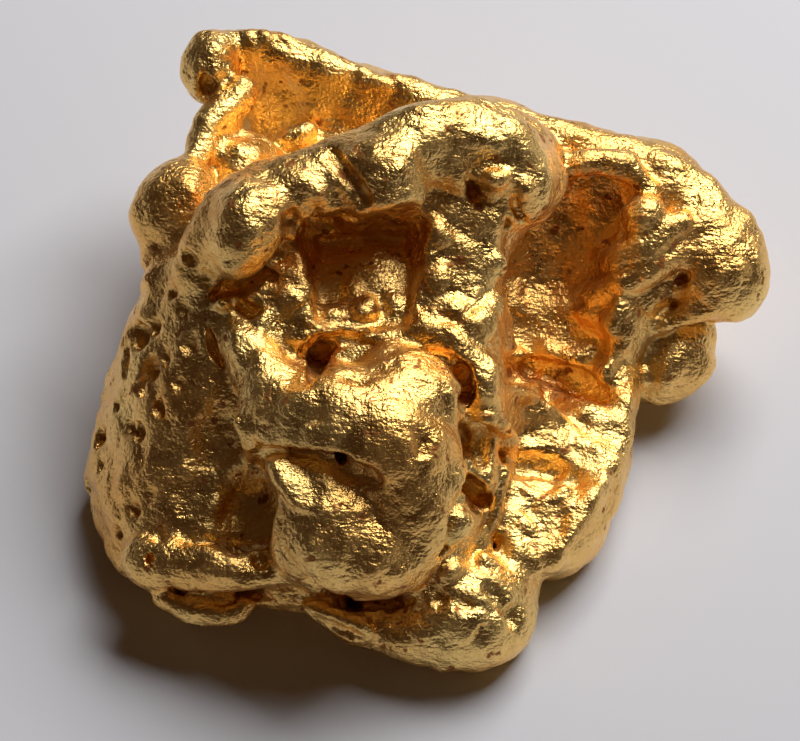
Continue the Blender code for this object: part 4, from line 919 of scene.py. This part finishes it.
def relief_tree():
    """Moves each vertex along its normal by two noises of different size. A wrinkle is where the second
    noise is near its middle value."""
    tree, group_in, group_out = new_tree(
        "Fine relief",
        [
            ("Dent size", "NodeSocketFloat"),
            ("Dent depth", "NodeSocketFloat"),
            ("Wrinkle size", "NodeSocketFloat"),
            ("Wrinkle height", "NodeSocketFloat"),
            ("Seed", "NodeSocketFloat"),
            ("Material", "NodeSocketMaterial"),
        ],
    )
    total = None
    for size, height in (("Dent size", "Dent depth"), ("Wrinkle size", "Wrinkle height")):
        noise = tree.nodes.new("ShaderNodeTexNoise")
        noise.noise_dimensions = "4D"
        noise.inputs["Detail"].default_value = 2.0
        scale = math_node(tree, "DIVIDE", 1.0, group_in.outputs[size])
        tree.links.new(scale, noise.inputs["Scale"])
        tree.links.new(group_in.outputs["Seed"], noise.inputs["W"])
        centred = math_node(tree, "SUBTRACT", noise.outputs[0], NOISE_MIDDLE)
        if size == "Wrinkle size":
            away = math_node(tree, "ABSOLUTE", centred, 0.0)
            centred = math_node(tree, "SUBTRACT", WRINKLE_HALF_WIDTH, away)
        amount = math_node(tree, "MULTIPLY", centred, group_in.outputs[height])
        total = amount if total is None else math_node(tree, "ADD", total, amount)
    normal = tree.nodes.new("GeometryNodeInputNormal")
    scaled = tree.nodes.new("ShaderNodeVectorMath")
    scaled.operation = "SCALE"
    tree.links.new(normal.outputs[0], scaled.inputs[0])
    tree.links.new(total, scaled.inputs["Scale"])
    move = tree.nodes.new("GeometryNodeSetPosition")
    tree.links.new(group_in.outputs["Geometry"], move.inputs["Geometry"])
    tree.links.new(scaled.outputs[0], move.inputs["Offset"])
    finish_tree(tree, group_in, group_out, move.outputs[0])
    return tree


relief = {
    "Dent size": 0.5,
    "Dent depth": 0.07,
    "Wrinkle size": 0.22,
    "Wrinkle height": 0.04,
    "Seed": 3.0,
    "Material": native_gold,
}
grained = run_tree(thinned, relief_tree(), relief)
print("relief added to", len(grained.vertices), "vertices")

# %% [markdown]
# ## Worn feet, and its place
#
# The feet are cut level and closed with flat faces. Then the mesh moves so that the ground is at zero under
# the middle of the nugget, and mm become metres. The move is done in the mesh, because a finished piece's
# object stays at the origin.

# %% Cut the feet level and set the nugget down
WORN_HEIGHT = 0.12
METRES = 0.001


def wear_flat(bm, height):
    """Cuts the feet off level at this height, and closes them with flat faces."""
    geometry = bm.verts[:] + bm.edges[:] + bm.faces[:]
    cut = bmesh.ops.bisect_plane(
        bm, geom=geometry, plane_co=(0, 0, height), plane_no=(0, 0, -1), clear_outer=True
    )
    edges = [g for g in cut["geom_cut"] if isinstance(g, bmesh.types.BMEdge)]
    bmesh.ops.holes_fill(bm, edges=edges)
    bmesh.ops.triangulate(bm, faces=[f for f in bm.faces if len(f.verts) > 4])


bm = bmesh.new()
bm.from_mesh(grained)
wear_flat(bm, WORN_HEIGHT)
xs = [v.co.x for v in bm.verts]
ys = [v.co.y for v in bm.verts]
middle = Vector(((min(xs) + max(xs)) / 2, (min(ys) + max(ys)) / 2, WORN_HEIGHT))
for vert in bm.verts:
    vert.co = (vert.co - middle) * METRES
bm.to_mesh(grained)
bm.free()
grained.materials.clear()
grained.materials.append(native_gold)
grained.shade_smooth()
nugget = bpy.data.objects.new("nugget_skin", grained)
collection = bpy.data.collections.new("Nugget skin")
bpy.context.scene.collection.children.link(collection)
collection.objects.link(nugget)
print("moved by", [round(-m, 3) for m in middle], "mm, triangles:", len(grained.polygons))

# %% [markdown]
# ## The finish: native gold
#
# Gold colours its own reflections, so the colour goes in the base of a fully metallic shader and nothing is
# painted light or dark. What makes it look real is the skin: sand scuffs the high spots of a river-worn
# surface and leaves more shine in the dents, and the grain is much finer than the mesh. Three noises on
# Object coordinates drive the bump, each with a distance in metres that is its real height.

# %% Noises for the finish
native_gold.use_nodes = True
gold_tree = native_gold.node_tree
shader = gold_tree.nodes["Principled BSDF"]
coordinates = gold_tree.nodes.new("ShaderNodeTexCoord")


def gold_noise(scale, detail, turn=(0, 0, 0), stretch=(1, 1, 1)):
    """A noise on the nugget's own coordinates, in hills per metre."""
    mapping = gold_tree.nodes.new("ShaderNodeMapping")
    mapping.inputs["Rotation"].default_value = turn
    mapping.inputs["Scale"].default_value = stretch
    gold_tree.links.new(coordinates.outputs["Object"], mapping.inputs["Vector"])
    noise = gold_tree.nodes.new("ShaderNodeTexNoise")
    noise.inputs["Scale"].default_value = scale
    noise.inputs["Detail"].default_value = detail
    gold_tree.links.new(mapping.outputs[0], noise.inputs["Vector"])
    return noise.outputs[0]


grain = gold_noise(12000, 2.0)
scratches = gold_noise(5000, 2.0, (0.4, 0.3, 0.9), (0.4, 1.6, 1.0))
dents = gold_noise(2000, 2.0)
patches = gold_noise(380, 2.0)
specks = gold_noise(2600, 3.0)
print("noises for the finish:", [n.bl_idname for n in gold_tree.nodes].count("ShaderNodeTexNoise"))

# %% [markdown]
# ### Colour, gloss and bump
#
# The patches shift the colour a little between a redder and a paler gold, as silver leaches out of the skin
# unevenly. The noise of the dents changes the roughness too, so the shine breaks up the way it does on
# a beaten surface. Here and there a speck of iron stain sits on the gold, brown and dull.

# %% Colour, gloss and bump of the gold
RED_GOLD = (0.97, 0.54, 0.15)
PALE_GOLD = (1.0, 0.69, 0.24)
IRON_STAIN = (0.42, 0.17, 0.05)
DENT_ROUGHNESS = (0.27, 0.27, 0.27)
SCUFFED_ROUGHNESS = (0.45, 0.45, 0.45)
STAIN_ROUGHNESS = (0.65, 0.65, 0.65)
STAIN_EDGE = (0.63, 0.69)
DENT_HEIGHT = 0.00012
SCRATCH_HEIGHT = 0.00006
GRAIN_HEIGHT = 0.00004


def ramp(value, low, high, low_at=0.3, high_at=0.7):
    """A colour ramp between two colours."""
    node = gold_tree.nodes.new("ShaderNodeValToRGB")
    node.color_ramp.elements[0].position = low_at
    node.color_ramp.elements[0].color = (*low, 1)
    node.color_ramp.elements[1].position = high_at
    node.color_ramp.elements[1].color = (*high, 1)
    gold_tree.links.new(value, node.inputs[0])
    return node.outputs[0]


def bump_layer(height, strength, distance, below=None):
    """A Bump node on top of the one below it."""
    node = gold_tree.nodes.new("ShaderNodeBump")
    node.inputs["Strength"].default_value = strength
    node.inputs["Distance"].default_value = distance
    gold_tree.links.new(height, node.inputs["Height"])
    if below is not None:
        gold_tree.links.new(below, node.inputs["Normal"])
    return node.outputs[0]


def over(share, under, top):
    """One colour laid over another, by a share from 0 to 1. A Mix node has inputs for every kind of value,
    and its two colours are numbers 6 and 7, counted from 0."""
    node = gold_tree.nodes.new("ShaderNodeMix")
    node.data_type = "RGBA"
    gold_tree.links.new(share, node.inputs[0])
    gold_tree.links.new(under, node.inputs[6])
    node.inputs[7].default_value = (*top, 1)
    return node.outputs[2]


clean_colour = ramp(patches, RED_GOLD, PALE_GOLD)
clean_roughness = ramp(dents, DENT_ROUGHNESS, SCUFFED_ROUGHNESS)
stained = ramp(specks, (0, 0, 0), (1, 1, 1), *STAIN_EDGE)
shader.inputs["Metallic"].default_value = 1.0
gold_tree.links.new(over(stained, clean_colour, IRON_STAIN), shader.inputs["Base Color"])
gold_tree.links.new(over(stained, clean_roughness, STAIN_ROUGHNESS), shader.inputs["Roughness"])
dent_bump = bump_layer(dents, 0.9, DENT_HEIGHT)
scratch_bump = bump_layer(scratches, 0.6, SCRATCH_HEIGHT, dent_bump)
gold_tree.links.new(bump_layer(grain, 0.9, GRAIN_HEIGHT, scratch_bump), shader.inputs["Normal"])
print("finish ready:", native_gold.name)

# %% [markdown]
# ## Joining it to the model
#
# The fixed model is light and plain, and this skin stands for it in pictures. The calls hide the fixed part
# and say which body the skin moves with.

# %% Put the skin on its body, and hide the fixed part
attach(nugget, "root")
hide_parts("gold_nugget")
print("the skin rides on root")

# %% [markdown]
# ## Paper, light and camera
#
# Metal shows only what is round it. The paper gives the pale lower reflections, one soft light from the
# upper right gives the bright spots, and the dim brown room gives the dark ones, which is why so little
# light is used. More lights would fill the dark parts and make the gold look like plastic.

# %% The paper
PAPER_WIDTH = 0.8
PAPER_WHITE = (0.77, 0.785, 0.85, 1)

paper = bpy.data.materials.new("Pale paper")
paper.use_nodes = True
paper_shader = paper.node_tree.nodes["Principled BSDF"]
paper_shader.inputs["Base Color"].default_value = PAPER_WHITE
paper_shader.inputs["Roughness"].default_value = 0.9
paper_mesh = bpy.data.meshes.new("Paper")
bm = bmesh.new()
bmesh.ops.create_grid(bm, x_segments=1, y_segments=1, size=PAPER_WIDTH / 2)
bm.to_mesh(paper_mesh)
bm.free()
paper_mesh.materials.append(paper)
floor = bpy.data.objects.new("paper", paper_mesh)
bpy.context.scene.collection.objects.link(floor)
print("paper is", PAPER_WIDTH, "m wide")

# %% The light and the room
ROOM_BROWN = (0.030, 0.016, 0.009, 1)
LIGHT_PLACE = (0.048, 0.064, 0.112)
LIGHT_AIM = (0, 0, 0.005)

scene = bpy.context.scene
room = bpy.data.worlds.new("Dim room")
room.use_nodes = True
room.node_tree.nodes["Background"].inputs["Color"].default_value = ROOM_BROWN
scene.world = room
scene.view_settings.view_transform = "Standard"

lamp = bpy.data.lights.new("Soft light", "AREA")
lamp.shape = "RECTANGLE"
lamp.size = 0.10
lamp.size_y = 0.075
lamp.energy = 0.19
lamp.color = (1.0, 0.98, 0.95)
light = bpy.data.objects.new("Soft light", lamp)
scene.collection.objects.link(light)
light.location = LIGHT_PLACE
light.rotation_euler = (Vector(LIGHT_AIM) - light.location).to_track_quat("-Z", "Y").to_euler()
print("light at", list(light.location))

# %% [markdown]
# ## The camera
#
# It looks straight at the main face, from as near as the eye that the views were laid out for. From there
# a long lens fills the frame with the nugget.

# %% The camera
LENS = 200.0
FRAME_WIDTH = 20.0

camera_data = bpy.data.cameras.new("Camera")
camera_data.lens = LENS
camera_data.clip_start = 0.001
camera = bpy.data.objects.new("Camera", camera_data)
scene.collection.objects.link(camera)
target = (Vector(FACE.middle) - middle) * METRES
out = Vector(FACE.frame[2])
camera.location = target + out * FRAME_WIDTH / camera_data.sensor_width * LENS * METRES
camera.rotation_euler = (-out).to_track_quat("-Z", "Y").to_euler()
scene.camera = camera
print("camera at", [round(c, 4) for c in camera.location])
